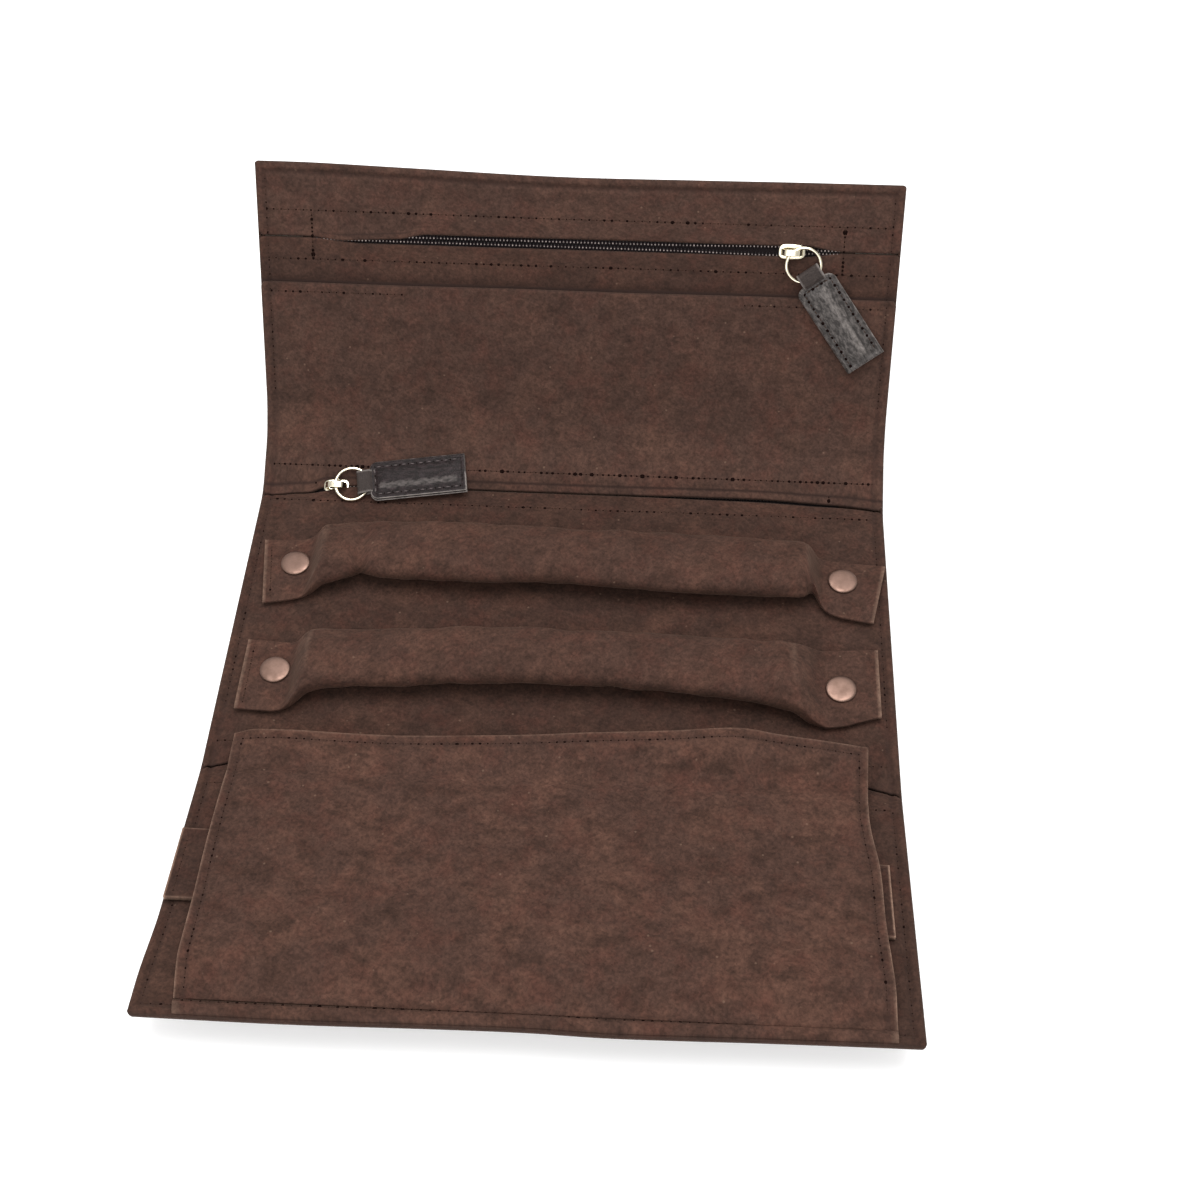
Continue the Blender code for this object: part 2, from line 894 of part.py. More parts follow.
def draped_sheet(name, parent, x_count, y_count, y, free_end, height_at):
    # A sheet whose middle surface follows height_at, thickened to both sides. Its corners
    # are rounded at the end of y that free_end names: -1 or 1.
    bm = bmesh.new()
    bmesh.ops.create_grid(bm, x_segments=x_count, y_segments=y_count, size=0.5)
    bmesh.ops.scale(bm, vec=(flap_width, y[1] - y[0], 1), verts=bm.verts)
    bmesh.ops.translate(bm, vec=(0, sum(y) / 2, 0), verts=bm.verts)
    corners = [
        vert
        for vert in bm.verts
        if len(vert.link_edges) == 2 and (vert.co.y - sum(y) / 2) * free_end > 0
    ]
    bmesh.ops.bevel(
        bm,
        geom=corners,
        offset=flap_corner,
        segments=3,
        affect="VERTICES",
        profile=0.5,
        material=-1,
    )
    for vert in bm.verts:
        vert.co.z = height_at(vert.co.x, vert.co.y)
    sheet = piece(name, mesh_from(bm, name), parent, "suede")
    thicken = sheet.modifiers.new("thickness", "SOLIDIFY")
    thicken.thickness = flap_thickness
    thicken.offset = 0
    return sheet


flap_axis_height = fit_gap + flap_thickness / 2
flap_axis = pivot("flap_axis", lower_panel, (0, -flap_root_from_crease, flap_axis_height))
flap_reach = flap_root_from_crease - flap_bend_from_crease
flap_level = flap_height + flap_thickness / 2


def flap_wave_at(x, y):
    # Gentle waves across the flap, still at its sewn root and at its bend
    still = sin(pi * min(max(y / flap_reach, 0.0), 1.0))
    return flap_wave * still * sin(4 * pi * x / flap_width + 2 * pi * y / flap_reach)


def flap_height_at(x, y):
    rise = smooth(y / flap_ramp) * (flap_level - flap_axis_height)
    return rise + flap_wave_at(x, y)


draped_sheet("flap", flap_axis, 16, 22, (0, flap_reach - half_crease_gap), -1, flap_height_at)
tip_axis = pivot(
    "flap_bend_axis",
    flap_axis,
    (0, flap_reach, flap_level - flap_axis_height),
    (flap_tip_rise, 0, 0),
)
draped_sheet(
    "flap_tip",
    tip_axis,
    16,
    3,
    (half_crease_gap + flap_thickness / 2, flap_tip_length),
    1,
    lambda x, y: 0.0,
)
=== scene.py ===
import math
import bmesh
import bpy
from mathutils import Matrix, Vector, noise


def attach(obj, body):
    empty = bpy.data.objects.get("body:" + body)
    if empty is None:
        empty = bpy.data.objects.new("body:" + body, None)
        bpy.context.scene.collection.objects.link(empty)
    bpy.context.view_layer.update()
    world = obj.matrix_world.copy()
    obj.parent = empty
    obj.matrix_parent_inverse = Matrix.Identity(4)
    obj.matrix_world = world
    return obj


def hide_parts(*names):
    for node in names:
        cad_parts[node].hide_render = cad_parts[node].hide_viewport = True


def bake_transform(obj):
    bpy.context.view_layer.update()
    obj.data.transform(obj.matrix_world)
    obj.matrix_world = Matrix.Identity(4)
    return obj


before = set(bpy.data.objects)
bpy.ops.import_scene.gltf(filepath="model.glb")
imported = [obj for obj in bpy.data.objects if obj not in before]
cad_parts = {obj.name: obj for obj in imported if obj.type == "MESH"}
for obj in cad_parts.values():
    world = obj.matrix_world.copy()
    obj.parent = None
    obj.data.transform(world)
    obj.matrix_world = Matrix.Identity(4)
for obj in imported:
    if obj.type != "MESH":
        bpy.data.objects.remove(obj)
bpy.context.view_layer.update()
print("packed model loaded")


# Where things are on the roll: metres along the lining, from the middle panel's centre
# to the front edge and the top edge
roll = {
    "halfWidth": 0.1325,
    "thickness": 0.0049,
    "front": -0.18725,
    "lowerCrease": -0.08075,
    "lowerFold": -0.05675,
    "upperFold": 0.05675,
    "upperCrease": 0.08875,
    "top": 0.19675,
    "lowerTilt": math.radians(-9),
    "spineTilt": math.radians(27.5),
    "upperTilt": math.radians(59),
    "seam": 0.0040,
    "corner": 0.0014,
    # how far the cloth bends round on each side of a crease
    "softCreases": (("lowerCrease", 0.005), ("upperFold", 0.0045), ("upperCrease", 0.013)),
    # the top and front edges aren't quite straight: (x, shift along the lining)
    "topWave": [
        (-0.1325, 0.0011), (-0.110, 0.0010), (-0.072, -0.0001), (-0.008, -0.0019),
        (0.050, -0.0017), (0.090, -0.0014), (0.1325, -0.0013),
    ],
    "frontWave": [
        (-0.1325, 0.0), (-0.080, -0.0003), (-0.030, 0.0005), (0.0, 0.0007), (0.026, 0.0001),
        (0.053, 0.0004), (0.080, 0.0009), (0.120, 0.0013), (0.1325, 0.0013),
    ],
    "waveFrom": 0.172,
    "topWaveRun": 0.022,
    "frontWaveRun": 0.014,
    # the front left corner leans out
    "cornerLean": 0.0013,
    "leanFrom": (-0.115, -0.145),
    "leanRun": (0.015, 0.03),
}
zips = {
    "half": 0.109,
    "first": 0.16775,
    "second": 0.06275,
    "third": -0.07475,
}


def straightPlace(s):
    # y, z and slope at a place along the lining, with every crease sharp
    start, slope = 0, 0
    y, z = 0, roll["thickness"]
    if s < roll["lowerCrease"]:
        start, slope = roll["lowerCrease"], roll["lowerTilt"]
        y = start
    elif s >= roll["upperFold"]:
        start, slope = roll["upperFold"], roll["spineTilt"]
        y = start
    if s > roll["upperCrease"]:
        spine = roll["upperCrease"] - start
        y += spine * math.cos(slope)
        z += spine * math.sin(slope)
        start, slope = roll["upperCrease"], roll["upperTilt"]
    return y + (s - start) * math.cos(slope), z + (s - start) * math.sin(slope), slope


def straightPoint(x, s, h):
    y, z, slope = straightPlace(s)
    return Vector((x, y - h * math.sin(slope), z + h * math.cos(slope)))


def slopeAndPlace(s):
    # the same with every crease soft
    for name, reach in roll["softCreases"]:
        t = (s - roll[name] + reach) / (2 * reach)
        if 0 < t < 1:
            y0, z0, _ = straightPlace(roll[name] - reach)
            y1, z1, _ = straightPlace(roll[name])
            y2, z2, _ = straightPlace(roll[name] + reach)
            y = (1 - t) ** 2 * y0 + 2 * t * (1 - t) * y1 + t * t * y2
            z = (1 - t) ** 2 * z0 + 2 * t * (1 - t) * z1 + t * t * z2
            slope = math.atan2((1 - t) * (z1 - z0) + t * (z2 - z1), (1 - t) * (y1 - y0) + t * (y2 - y1))
            return y, z, slope
    return straightPlace(s)


def alongCurve(points, x):
    # The height of a smooth curve through a few (x, height) points
    if x <= points[0][0]:
        return points[0][1]
    for k in range(len(points) - 1):
        (x0, v0), (x1, v1) = points[k], points[k + 1]
        if x <= x1:
            before, after = points[max(k - 1, 0)], points[min(k + 2, len(points) - 1)]
            lead = (v1 - before[1]) / (x1 - before[0]) * (x1 - x0)
            trail = (after[1] - v0) / (after[0] - x0) * (x1 - x0)
            t = (x - x0) / (x1 - x0)
            blend = t * t * (3 - 2 * t)
            return v0 + (v1 - v0) * blend + lead * t * (1 - t) ** 2 - trail * t * t * (1 - t)
    return points[-1][1]


def edgeShift(x, s):
    # How far the wavy top and front edges carry the cloth along the roll
    top = alongCurve(roll["topWave"], x) * ease((s - roll["waveFrom"]) / roll["topWaveRun"])
    front = alongCurve(roll["frontWave"], x) * ease((-roll["waveFrom"] - s) / roll["frontWaveRun"])
    return top + front


def onRoll(x, s, h=0.0):
    # The point at x across, s along and h above the lining
    s += edgeShift(x, s)
    (leanX, leanS), (runX, runS) = roll["leanFrom"], roll["leanRun"]
    x -= roll["cornerLean"] * ease((leanS - s) / runS) * ease((leanX - x) / runX)
    y, z, slope = slopeAndPlace(s)
    return Vector((x, y - h * math.sin(slope), z + h * math.cos(slope)))


def rollUp(s):
    # The direction straight up from the lining
    return Matrix.Rotation(slopeAndPlace(s)[2], 3, "X") @ Vector((0, 0, 1))


def ease(t):
    t = min(max(t, 0.0), 1.0)
    return t * t * (3 - 2 * t)


def bump(t):
    # A soft hill over -1 to 1
    return (1 - t * t) ** 2 if abs(t) < 1 else 0.0


def hills(x, places):
    # The sum of soft hills, each given as (middle, reach, height)
    return sum(height * bump((x - middle) / reach) for middle, reach, height in places)


def wave(x, s, size, seed=0.0):
    # Smooth irregular waves between -1 and 1, about size apart
    return noise.noise(Vector((x / size, s / size, seed)))


# Materials

def hexColour(code):
    # sRGB hex to the linear colour that a shader takes
    parts = [int(code[k : k + 2], 16) / 255 for k in (1, 3, 5)]
    return (*[p / 12.92 if p <= 0.04045 else ((p + 0.055) / 1.055) ** 2.4 for p in parts], 1)


def addNode(material, kind, settings=None, links=None):
    # settings name a property or an input of the node, and links join outputs to inputs
    node = material.node_tree.nodes.new(kind)
    for key, value in (settings or {}).items():
        if isinstance(key, str) and hasattr(node, key):
            setattr(node, key, value)
        else:
            node.inputs[key].default_value = value
    for key, source in (links or {}).items():
        material.node_tree.links.new(source, node.inputs[key])
    return node


def newMaterial(name, settings):
    material = bpy.data.materials.new(name)
    material.use_nodes = True
    shader = material.node_tree.nodes["Principled BSDF"]
    for key, value in settings.items():
        shader.inputs[key].default_value = value
    return material, shader


suedeLook = {
    "base": "#553f36",
    "worn": "#664b3f",
    "red": "#5e3f35",
    "deep": "#463229",
    "lint": "#7a6252",
    "cutEdgeAndHighlight": "#83695a",
    "seamShade": "#2a1d19",
    "patchSize": 0.026,  # brushed patches of nap, metres
    "streakSize": 0.008,
    "tuftSize": 0.0042,
    "grainSize": 0.0013,  # real nap is finer; drawn at about three render pixels
    "sheen": 0.14,
}


def suedeMaterial(name, shift="#808080", contrast=1.0):
    # Faux suede: a brushed microfibre nap. It is matt, with patches that lean lighter or
    # darker where it was stroked, a fine speckle, and a paler line where it is cut. The tone
    # attribute also paints a highlight on the bars' ridges and shade in seams, lips and creases.
    material, shader = newMaterial(name, {
        "Roughness": 0.93,
        "Specular IOR Level": 0.18,
        "Sheen Weight": suedeLook["sheen"],
        "Sheen Roughness": 0.45,
        "Sheen Tint": hexColour("#b08f78"),
    })
    links = material.node_tree.links
    cloth = addNode(material, "ShaderNodeUVMap", {"uv_map": "cloth"}).outputs["UV"]
    patch = addNode(material, "ShaderNodeTexNoise", {
        "Scale": 1 / suedeLook["patchSize"], "Detail": 3.0, "Roughness": 0.6, "Distortion": 0.6,
    }, {"Vector": cloth})
    along = addNode(material, "ShaderNodeMapping", {"Scale": (0.6, 1.0, 1.0)}, {"Vector": cloth})
    streak = addNode(material, "ShaderNodeTexNoise", {
        "Scale": 1 / suedeLook["streakSize"], "Detail": 4.0, "Roughness": 0.65,
    }, {"Vector": along.outputs["Vector"]})
    turned = addNode(material, "ShaderNodeMapping", {"Rotation": (0.4, 0.3, 0.6)}, {"Vector": cloth})
    grain = addNode(material, "ShaderNodeTexNoise", {
        "Scale": 1 / suedeLook["grainSize"], "Detail": 2.0, "Roughness": 0.65, "Distortion": 0.4,
    }, {"Vector": turned.outputs["Vector"]})
    tuft = addNode(material, "ShaderNodeTexNoise", {
        "Scale": 1 / suedeLook["tuftSize"], "Detail": 2.0, "Roughness": 0.6,
    }, {"Vector": turned.outputs["Vector"]})
    fleck = addNode(material, "ShaderNodeTexVoronoi", {
        "Scale": 1 / (6 * suedeLook["grainSize"]), "Randomness": 1.0,
    }, {"Vector": cloth})
    light = addNode(material, "ShaderNodeMapRange", {
        "From Min": 0.46, "From Max": 0.46 + 0.24 / contrast, "To Max": 0.7,
    }, {"Value": patch.outputs["Fac"]})
    dark = addNode(material, "ShaderNodeMapRange", {
        "From Min": 0.52, "From Max": 0.52 - 0.24 / contrast, "To Max": 0.75,
    }, {"Value": streak.outputs["Fac"]})
    blush = addNode(material, "ShaderNodeTexNoise", {
        "Scale": 1 / 0.015, "Detail": 3.0, "Roughness": 0.7, "noise_dimensions": "4D", "W": 3.0,
    }, {"Vector": cloth})
    redder = addNode(material, "ShaderNodeMapRange", {
        "From Min": 0.48, "From Max": 0.68, "To Max": 0.7,
    }, {"Value": blush.outputs["Fac"]})
    colour = addNode(material, "ShaderNodeMix", {
        "data_type": "RGBA", 6: hexColour(suedeLook["base"]), 7: hexColour(suedeLook["worn"]),
    }, {0: light.outputs[0]}).outputs[2]
    for share, layer in ((dark, "deep"), (redder, "red")):
        colour = addNode(material, "ShaderNodeMix", {
            "data_type": "RGBA", 7: hexColour(suedeLook[layer]),
        }, {0: share.outputs[0], 6: colour}).outputs[2]
    colour = addNode(material, "ShaderNodeMix", {
        "data_type": "RGBA", "blend_type": "SOFT_LIGHT", 0: 1.0, 7: hexColour(shift),
    }, {6: colour}).outputs[2]
    nearNap = addNode(material, "ShaderNodeMapRange", {
        "From Min": 0.3, "From Max": 0.7, "To Min": 0.68, "To Max": 1.32,
    }, {"Value": grain.outputs["Fac"]})
    farNap = addNode(material, "ShaderNodeMapRange", {
        "From Min": 0.3, "From Max": 0.7, "To Min": 0.82, "To Max": 1.18,
    }, {"Value": tuft.outputs["Fac"]})
    speckle = addNode(material, "ShaderNodeMath", {"operation": "MULTIPLY"}, {
        0: nearNap.outputs[0], 1: farNap.outputs[0],
    })
    grey = addNode(material, "ShaderNodeCombineColor", links={
        "Red": speckle.outputs[0], "Green": speckle.outputs[0], "Blue": speckle.outputs[0],
    })
    colour = addNode(material, "ShaderNodeMix", {
        "data_type": "RGBA", "blend_type": "MULTIPLY", 0: 1.0,
    }, {6: colour, 7: grey.outputs[0]}).outputs[2]
    lint = addNode(material, "ShaderNodeMapRange", {
        "From Min": 0.07, "From Max": 0.04, "To Max": 0.3,
    }, {"Value": fleck.outputs["Distance"]})
    # tone above zero pales the cloth at cut edges and as a painted highlight on the bars' ridges; below zero
    # it is painted shade
    tone = addNode(material, "ShaderNodeAttribute", {"attribute_name": "tone"}).outputs["Fac"]
    frayed = addNode(material, "ShaderNodeMath", {"operation": "MULTIPLY"}, {0: tone, 1: speckle.outputs[0]})
    paler = addNode(material, "ShaderNodeMapRange", {"From Max": 1.0}, {"Value": frayed.outputs[0]})
    darker = addNode(material, "ShaderNodeMapRange", {"From Max": -1.0}, {"Value": tone})
    for share, layer in ((lint, "lint"), (paler, "cutEdgeAndHighlight"), (darker, "seamShade")):
        colour = addNode(material, "ShaderNodeMix", {
            "data_type": "RGBA", 7: hexColour(suedeLook[layer]),
        }, {0: share.outputs[0], 6: colour}).outputs[2]
    links.new(colour, shader.inputs["Base Color"])
    nap = addNode(material, "ShaderNodeMath", {"operation": "ADD"}, {
        0: grain.outputs["Fac"], 1: streak.outputs["Fac"],
    })
    relief = addNode(material, "ShaderNodeBump", {
        "Strength": 0.5, "Distance": 0.0004,
    }, {"Height": nap.outputs[0]})
    links.new(relief.outputs["Normal"], shader.inputs["Normal"])
    return material


def plainMaterial(name, colour, roughness, grainSize, grainShare, settings=None):
    # One colour with a fine irregular grain in its tone and its surface
    material, shader = newMaterial(name, {"Roughness": roughness, **(settings or {})})
    place = addNode(material, "ShaderNodeTexCoord").outputs["Object"]
    grain = addNode(material, "ShaderNodeTexNoise", {
        "Scale": 1 / grainSize, "Detail": 3.0,
    }, {"Vector": place})
    shade = addNode(material, "ShaderNodeMapRange", {
        "From Min": 0.3, "From Max": 0.7, "To Max": grainShare,
    }, {"Value": grain.outputs["Fac"]})
    tint = addNode(material, "ShaderNodeMix", {
        "data_type": "RGBA", 6: hexColour(colour), 7: hexColour("#0c0807"),
    }, {0: shade.outputs[0]})
    relief = addNode(material, "ShaderNodeBump", {
        "Strength": 0.4, "Distance": 0.0001,
    }, {"Height": grain.outputs["Fac"]})
    material.node_tree.links.new(tint.outputs[2], shader.inputs["Base Color"])
    material.node_tree.links.new(relief.outputs["Normal"], shader.inputs["Normal"])
    return material


leatherLook = {
    "pebbleSize": 0.0009,  # the pressed grain, metres
    "scuffSize": 0.0013,
    "scuffStretch": 0.45,
    # pale cut edges and the painted highlight band, then painted shade in the stitched grooves
    "paleEdgeAndHighlight": "#978f8a",
    "groove": "#1b1514",
}


def leatherMaterial(name, colour, wornColour, roughness, gloss):
    # Finished split leather: a pressed grain with a cool broad gloss, and paler streaks
    # rubbed along it. The tone attribute pales its cut edges and paints a highlight band, and
    # paints shade in its stitched grooves
    material, shader = newMaterial(name, {"Roughness": roughness, "Specular IOR Level": gloss})
    links = material.node_tree.links
    place = addNode(material, "ShaderNodeTexCoord").outputs["Object"]
    pebble = addNode(material, "ShaderNodeTexVoronoi", {
        "Scale": 1 / leatherLook["pebbleSize"], "Randomness": 1.0, "feature": "DISTANCE_TO_EDGE",
    }, {"Vector": place})
    cloth = addNode(material, "ShaderNodeUVMap", {"uv_map": "cloth"}).outputs["UV"]
    along = addNode(material, "ShaderNodeMapping", {
        "Scale": (leatherLook["scuffStretch"], 1.0, 1.0),
    }, {"Vector": cloth})
    scuff = addNode(material, "ShaderNodeTexNoise", {
        "Scale": 1 / leatherLook["scuffSize"], "Detail": 4.0, "Roughness": 0.65, "Distortion": 0.3,
    }, {"Vector": along.outputs["Vector"]})
    crack = addNode(material, "ShaderNodeMapRange", {
        "From Min": 0.0, "From Max": 0.18, "To Min": 0.75, "To Max": 1.0,
    }, {"Value": pebble.outputs["Distance"]})
    worn = addNode(material, "ShaderNodeMapRange", {
        "From Min": 0.42, "From Max": 0.70, "To Max": 0.85,
    }, {"Value": scuff.outputs["Fac"]})
    base = addNode(material, "ShaderNodeMix", {
        "data_type": "RGBA", 6: hexColour(colour), 7: hexColour(wornColour),
    }, {0: worn.outputs[0]}).outputs[2]
    grey = addNode(material, "ShaderNodeCombineColor", links={
        "Red": crack.outputs[0], "Green": crack.outputs[0], "Blue": crack.outputs[0],
    })
    base = addNode(material, "ShaderNodeMix", {
        "data_type": "RGBA", "blend_type": "MULTIPLY", 0: 1.0,
    }, {6: base, 7: grey.outputs[0]}).outputs[2]
    # tone: pale cut edges and a painted highlight above zero, painted shade in grooves below zero
    tone = addNode(material, "ShaderNodeAttribute", {"attribute_name": "tone"}).outputs["Fac"]
    paleEdgeAndHighlight = addNode(material, "ShaderNodeMath", {"operation": "MULTIPLY"}, {
        0: tone, 1: scuff.outputs["Fac"],
    })
    paler = addNode(material, "ShaderNodeMapRange", {
        "From Min": 0.08, "From Max": 0.55,
    }, {"Value": paleEdgeAndHighlight.outputs[0]})
    darker = addNode(material, "ShaderNodeMapRange", {"From Max": -1.0}, {"Value": tone})
    for share, layer in ((paler, "paleEdgeAndHighlight"), (darker, "groove")):
        base = addNode(material, "ShaderNodeMix", {
            "data_type": "RGBA", 7: hexColour(leatherLook[layer]),
        }, {0: share.outputs[0], 6: base}).outputs[2]
    links.new(base, shader.inputs["Base Color"])
    height = addNode(material, "ShaderNodeMath", {"operation": "ADD"}, {
        0: crack.outputs[0], 1: scuff.outputs["Fac"],
    })
    relief = addNode(material, "ShaderNodeBump", {
        "Strength": 0.6, "Distance": 0.0003,
    }, {"Height": height.outputs[0]})
    links.new(relief.outputs["Normal"], shader.inputs["Normal"])
    return material


def metalMaterial(name, colour, roughness, tarnish, tarnishShare):
    # Plated or polished metal: bright reflections, dulled in irregular patches of 3.5 mm
    material, shader = newMaterial(name, {"Metallic": 1.0})
    links = material.node_tree.links
    place = addNode(material, "ShaderNodeTexCoord").outputs["Object"]
    cloud = addNode(material, "ShaderNodeTexNoise", {
        "Scale": 1 / 0.0035, "Detail": 4.0, "Roughness": 0.6,
    }, {"Vector": place})
    patch = addNode(material, "ShaderNodeMapRange", {
        "From Min": 0.4, "From Max": 0.7, "To Max": tarnishShare,
    }, {"Value": cloud.outputs["Fac"]})
    tint = addNode(material, "ShaderNodeMix", {
        "data_type": "RGBA", 6: hexColour(colour), 7: hexColour(tarnish),
    }, {0: patch.outputs[0]})
    links.new(tint.outputs[2], shader.inputs["Base Color"])
    dull = addNode(material, "ShaderNodeMapRange", {
        "From Min": 0.3, "From Max": 0.8, "To Min": roughness * 0.8, "To Max": roughness * 1.4,
    }, {"Value": cloud.outputs["Fac"]})
    links.new(dull.outputs[0], shader.inputs["Roughness"])
    return material


def coilMaterial():
    # Black nylon coil: smooth and dark, with a small grey glint painted on the top of each turn as a painted
    # highlight
    material, shader = newMaterial("nylonCoil", {"Roughness": 0.45, "Specular IOR Level": 0.2})
    place = addNode(material, "ShaderNodeTexCoord").outputs["Object"]
    haze = addNode(material, "ShaderNodeTexNoise", {
        "Scale": 1 / 0.0012, "Detail": 2.0,
    }, {"Vector": place})
    tone = addNode(material, "ShaderNodeAttribute", {"attribute_name": "tone"}).outputs["Fac"]
    glint = addNode(material, "ShaderNodeMath", {"operation": "MULTIPLY"}, {0: tone, 1: haze.outputs["Fac"]})
    share = addNode(material, "ShaderNodeMapRange", {
        "From Min": 0.15, "From Max": 0.6,
    }, {"Value": glint.outputs[0]})
    tint = addNode(material, "ShaderNodeMix", {
        "data_type": "RGBA", 6: hexColour("#0b0708"), 7: hexColour("#a0928d"),
    }, {0: share.outputs[0]})
    material.node_tree.links.new(tint.outputs[2], shader.inputs["Base Color"])
    return material


def tapeMaterial():
    # Woven polyester zip tape: matt and nearly black, with ribs about 0.5 mm apart across it
    material, shader = newMaterial("wovenZipTape", {"Roughness": 0.9, "Specular IOR Level": 0.15})
    place = addNode(material, "ShaderNodeTexCoord").outputs["Object"]
    ribs = addNode(material, "ShaderNodeTexWave", {
        "Scale": 1 / 0.0016, "Distortion": 1.0, "bands_direction": "X",
    }, {"Vector": place})
    tint = addNode(material, "ShaderNodeMix", {
        "data_type": "RGBA", 6: hexColour("#0c0809"), 7: hexColour("#1b1415"),
    }, {0: ribs.outputs["Fac"]})
    relief = addNode(material, "ShaderNodeBump", {
        "Strength": 0.5, "Distance": 0.0001,
    }, {"Height": ribs.outputs["Fac"]})
    material.node_tree.links.new(tint.outputs[2], shader.inputs["Base Color"])
    material.node_tree.links.new(relief.outputs["Normal"], shader.inputs["Normal"])
    return material


# The same suede in copies: the front and middle linings, the zip facing and the band under the
# flap are painted darker as painted shade; the flap is a little lighter and the bars a little darker
# as painted light and shade, both with stronger stroked patches; the cover leans a little darker
liningSuede = suedeMaterial("fauxSuedeLining")
shadedSuede = suedeMaterial("fauxSuedePaintedShadeLining", "#747372")
panelSuede = suedeMaterial("fauxSuedeCover", "#7b7b7b")
flapSuede = suedeMaterial("fauxSuedeFlap", "#83807f", 1.6)
barSuede = suedeMaterial("fauxSuedeBar", "#807d7c", 1.2)
shadedBandSuede = suedeMaterial("fauxSuedeBandPaintedShade", "#6b6a6a")
# Spun polyester thread, dull with fuzz, and near-black dots of painted shade where its needle holes are
threadBrown = plainMaterial("spunThread", "#3a2a22", 0.95, 0.0006, 0.2, {"Specular IOR Level": 0.05})
needleHoleShade = plainMaterial("needleHoleShade", "#160d0b", 1.0, 0.0006, 0.3, {"Specular IOR Level": 0.0})
# Waxed thread of the dark tabs, painted pale to stand in for the light it catches along its top
glintThread = plainMaterial("glintThread", "#6a5f5e", 0.5, 0.0006, 0.2, {"Specular IOR Level": 0.3})
zipTape = tapeMaterial()
blackCoil = coilMaterial()
# Satin of the hidden pocket bags: smooth, with a soft sheen
pocketSatin = plainMaterial("liningSatin", "#2b2321", 0.5, 0.0007, 0.3)
# Grey board of pressed waste paper: matt, with dark specks
greyBoard = plainMaterial("greyBoard", "#a8a298", 0.9, 0.0015, 0.12)
greyLeather = leatherMaterial("blackGreyLeather", "#2c2826", "#625c59", 0.33, 0.22)
brownLeather = leatherMaterial("darkBrownLeather", "#150e0d", "#332829", 0.36, 0.12)
loopLeather = leatherMaterial("leatherStrap", "#2b2523", "#544a46", 0.5, 0.12)
# Sliders and rings shine almost clear, and the snaps are brushed and browned
paleNickel = metalMaterial("polishedNickel", "#efe6cf", 0.16, "#b5a98c", 0.4)
agedCopper = metalMaterial("antiqueCopper", "#82695e", 0.43, "#644f45", 0.6)
print("materials ready")


# Pieces and what they follow

def bend(bodyBefore, bodyAfter, start, end):
    return bodyBefore, bodyAfter, onRoll(0, start), onRoll(0, end)


moves = {
    "front": bend("lower_panel", "lower_spine", roll["lowerCrease"] - 0.007, roll["lowerCrease"] + 0.003),
    "lowFold": bend("lower_spine", "middle_panel", roll["lowerFold"] - 0.005, roll["lowerFold"] + 0.005),
    "highFold": bend("middle_panel", "upper_spine", roll["upperFold"] - 0.007, roll["upperFold"] + 0.003),
    "top": bend("upper_spine", "upper_panel", roll["upperCrease"] - 0.012, roll["upperCrease"] + 0.012),
}


def addPiece(name, bm, materials, move, wall=0.0, replaces=(), offset=-1):
    # move is the body that the piece rides on, or a bend between two bodies, which is not applied: such a
    # piece stays where it is made
    mesh = bpy.data.meshes.new(name)
    bm.to_mesh(mesh)
    bm.free()
    mesh.shade_smooth()
    piece = bpy.data.objects.new(name, mesh)
    bpy.context.scene.collection.objects.link(piece)
    for material in materials:
        mesh.materials.append(material)
    if wall:
        solid = piece.modifiers.new("wall", "SOLIDIFY")
        solid.thickness = wall
        solid.offset = offset
    if isinstance(move, str):
        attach(piece, move)
    else:
        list(move)
        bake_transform(piece)
    if replaces:
        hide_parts(*replaces)
    return piece


def places(start, end, step, marks=(), reach=0.0022, fine=0.0004):
    # Places from start to end, about a step apart and closer near each mark
    count = math.ceil((end - start) / step)
    found = [start + (end - start) * k / count for k in range(count + 1)]
    near = int(reach / fine)
    for mark in marks:
        found += [mark + k * fine for k in range(-near, near + 1) if start < mark + k * fine < end]
    kept = [start]
    for place in sorted(found):
        if place - kept[-1] > fine * 0.7 and end - place > fine * 0.7:
            kept.append(place)
    return kept + [end]


def clothGrid(across, along, placeAt, flatAt=None):
    # A grid of cloth: placeAt turns each crossing into a point and a tone, and flatAt
    # into its place on the flat cloth where that isn't the crossing itself
    bm = bmesh.new()
    bmesh.ops.create_grid(bm, x_segments=len(across) - 1, y_segments=len(along) - 1, size=0.5)
    cloth = bm.loops.layers.uv.new("cloth")
    toneLayer = bm.verts.layers.float.new("tone")
    flat = {}
    for vert in bm.verts:
        x = across[round((vert.co.x + 0.5) * (len(across) - 1))]
        s = along[round((vert.co.y + 0.5) * (len(along) - 1))]
        flat[vert] = flatAt(x, s) if flatAt else (x, s)
        vert.co, vert[toneLayer] = placeAt(x, s)
    for face in bm.faces:
        for loop in face.loops:
            loop[cloth].uv = flat[loop.vert]
    return bm


def outline(x, s, end, inward):
    # Distance to the panel's edge, and the place moved so that its corners are round
    half, radius = roll["halfWidth"], roll["corner"]
    toSide = half - abs(x)
    toEnd = abs(end - s) if end is not None else 1.0
    if toSide < radius and toEnd < radius:
        px, ps = radius - toSide, radius - toEnd
        share = max(px, ps) / max(math.hypot(px, ps), 1e-9)
        x = math.copysign(half - radius + px * share, x)
        s = end + inward * (radius - ps * share)
    return x, s, min(toSide, toEnd)


def foldDip(distance, depth, radius=0.001):
    # How far a folded or cut edge rounds down, at a distance from it
    if distance >= radius:
        return 0.0
    return depth * (1 - math.sqrt(max(0.0, 1 - (1 - distance / radius) ** 2)))


# Stitches

stitch = {
    "pitch": 0.0031,
    "threadLength": 0.0019,
    "threadRadius": 0.00017,
    "threadHeight": 0.0001,
    "wobble": 0.00012,
    "hole": 0.00060,
    "holeHeight": 0.00012,
    "holeSpread": 1.7,  # how unevenly the holes are pulled open
}


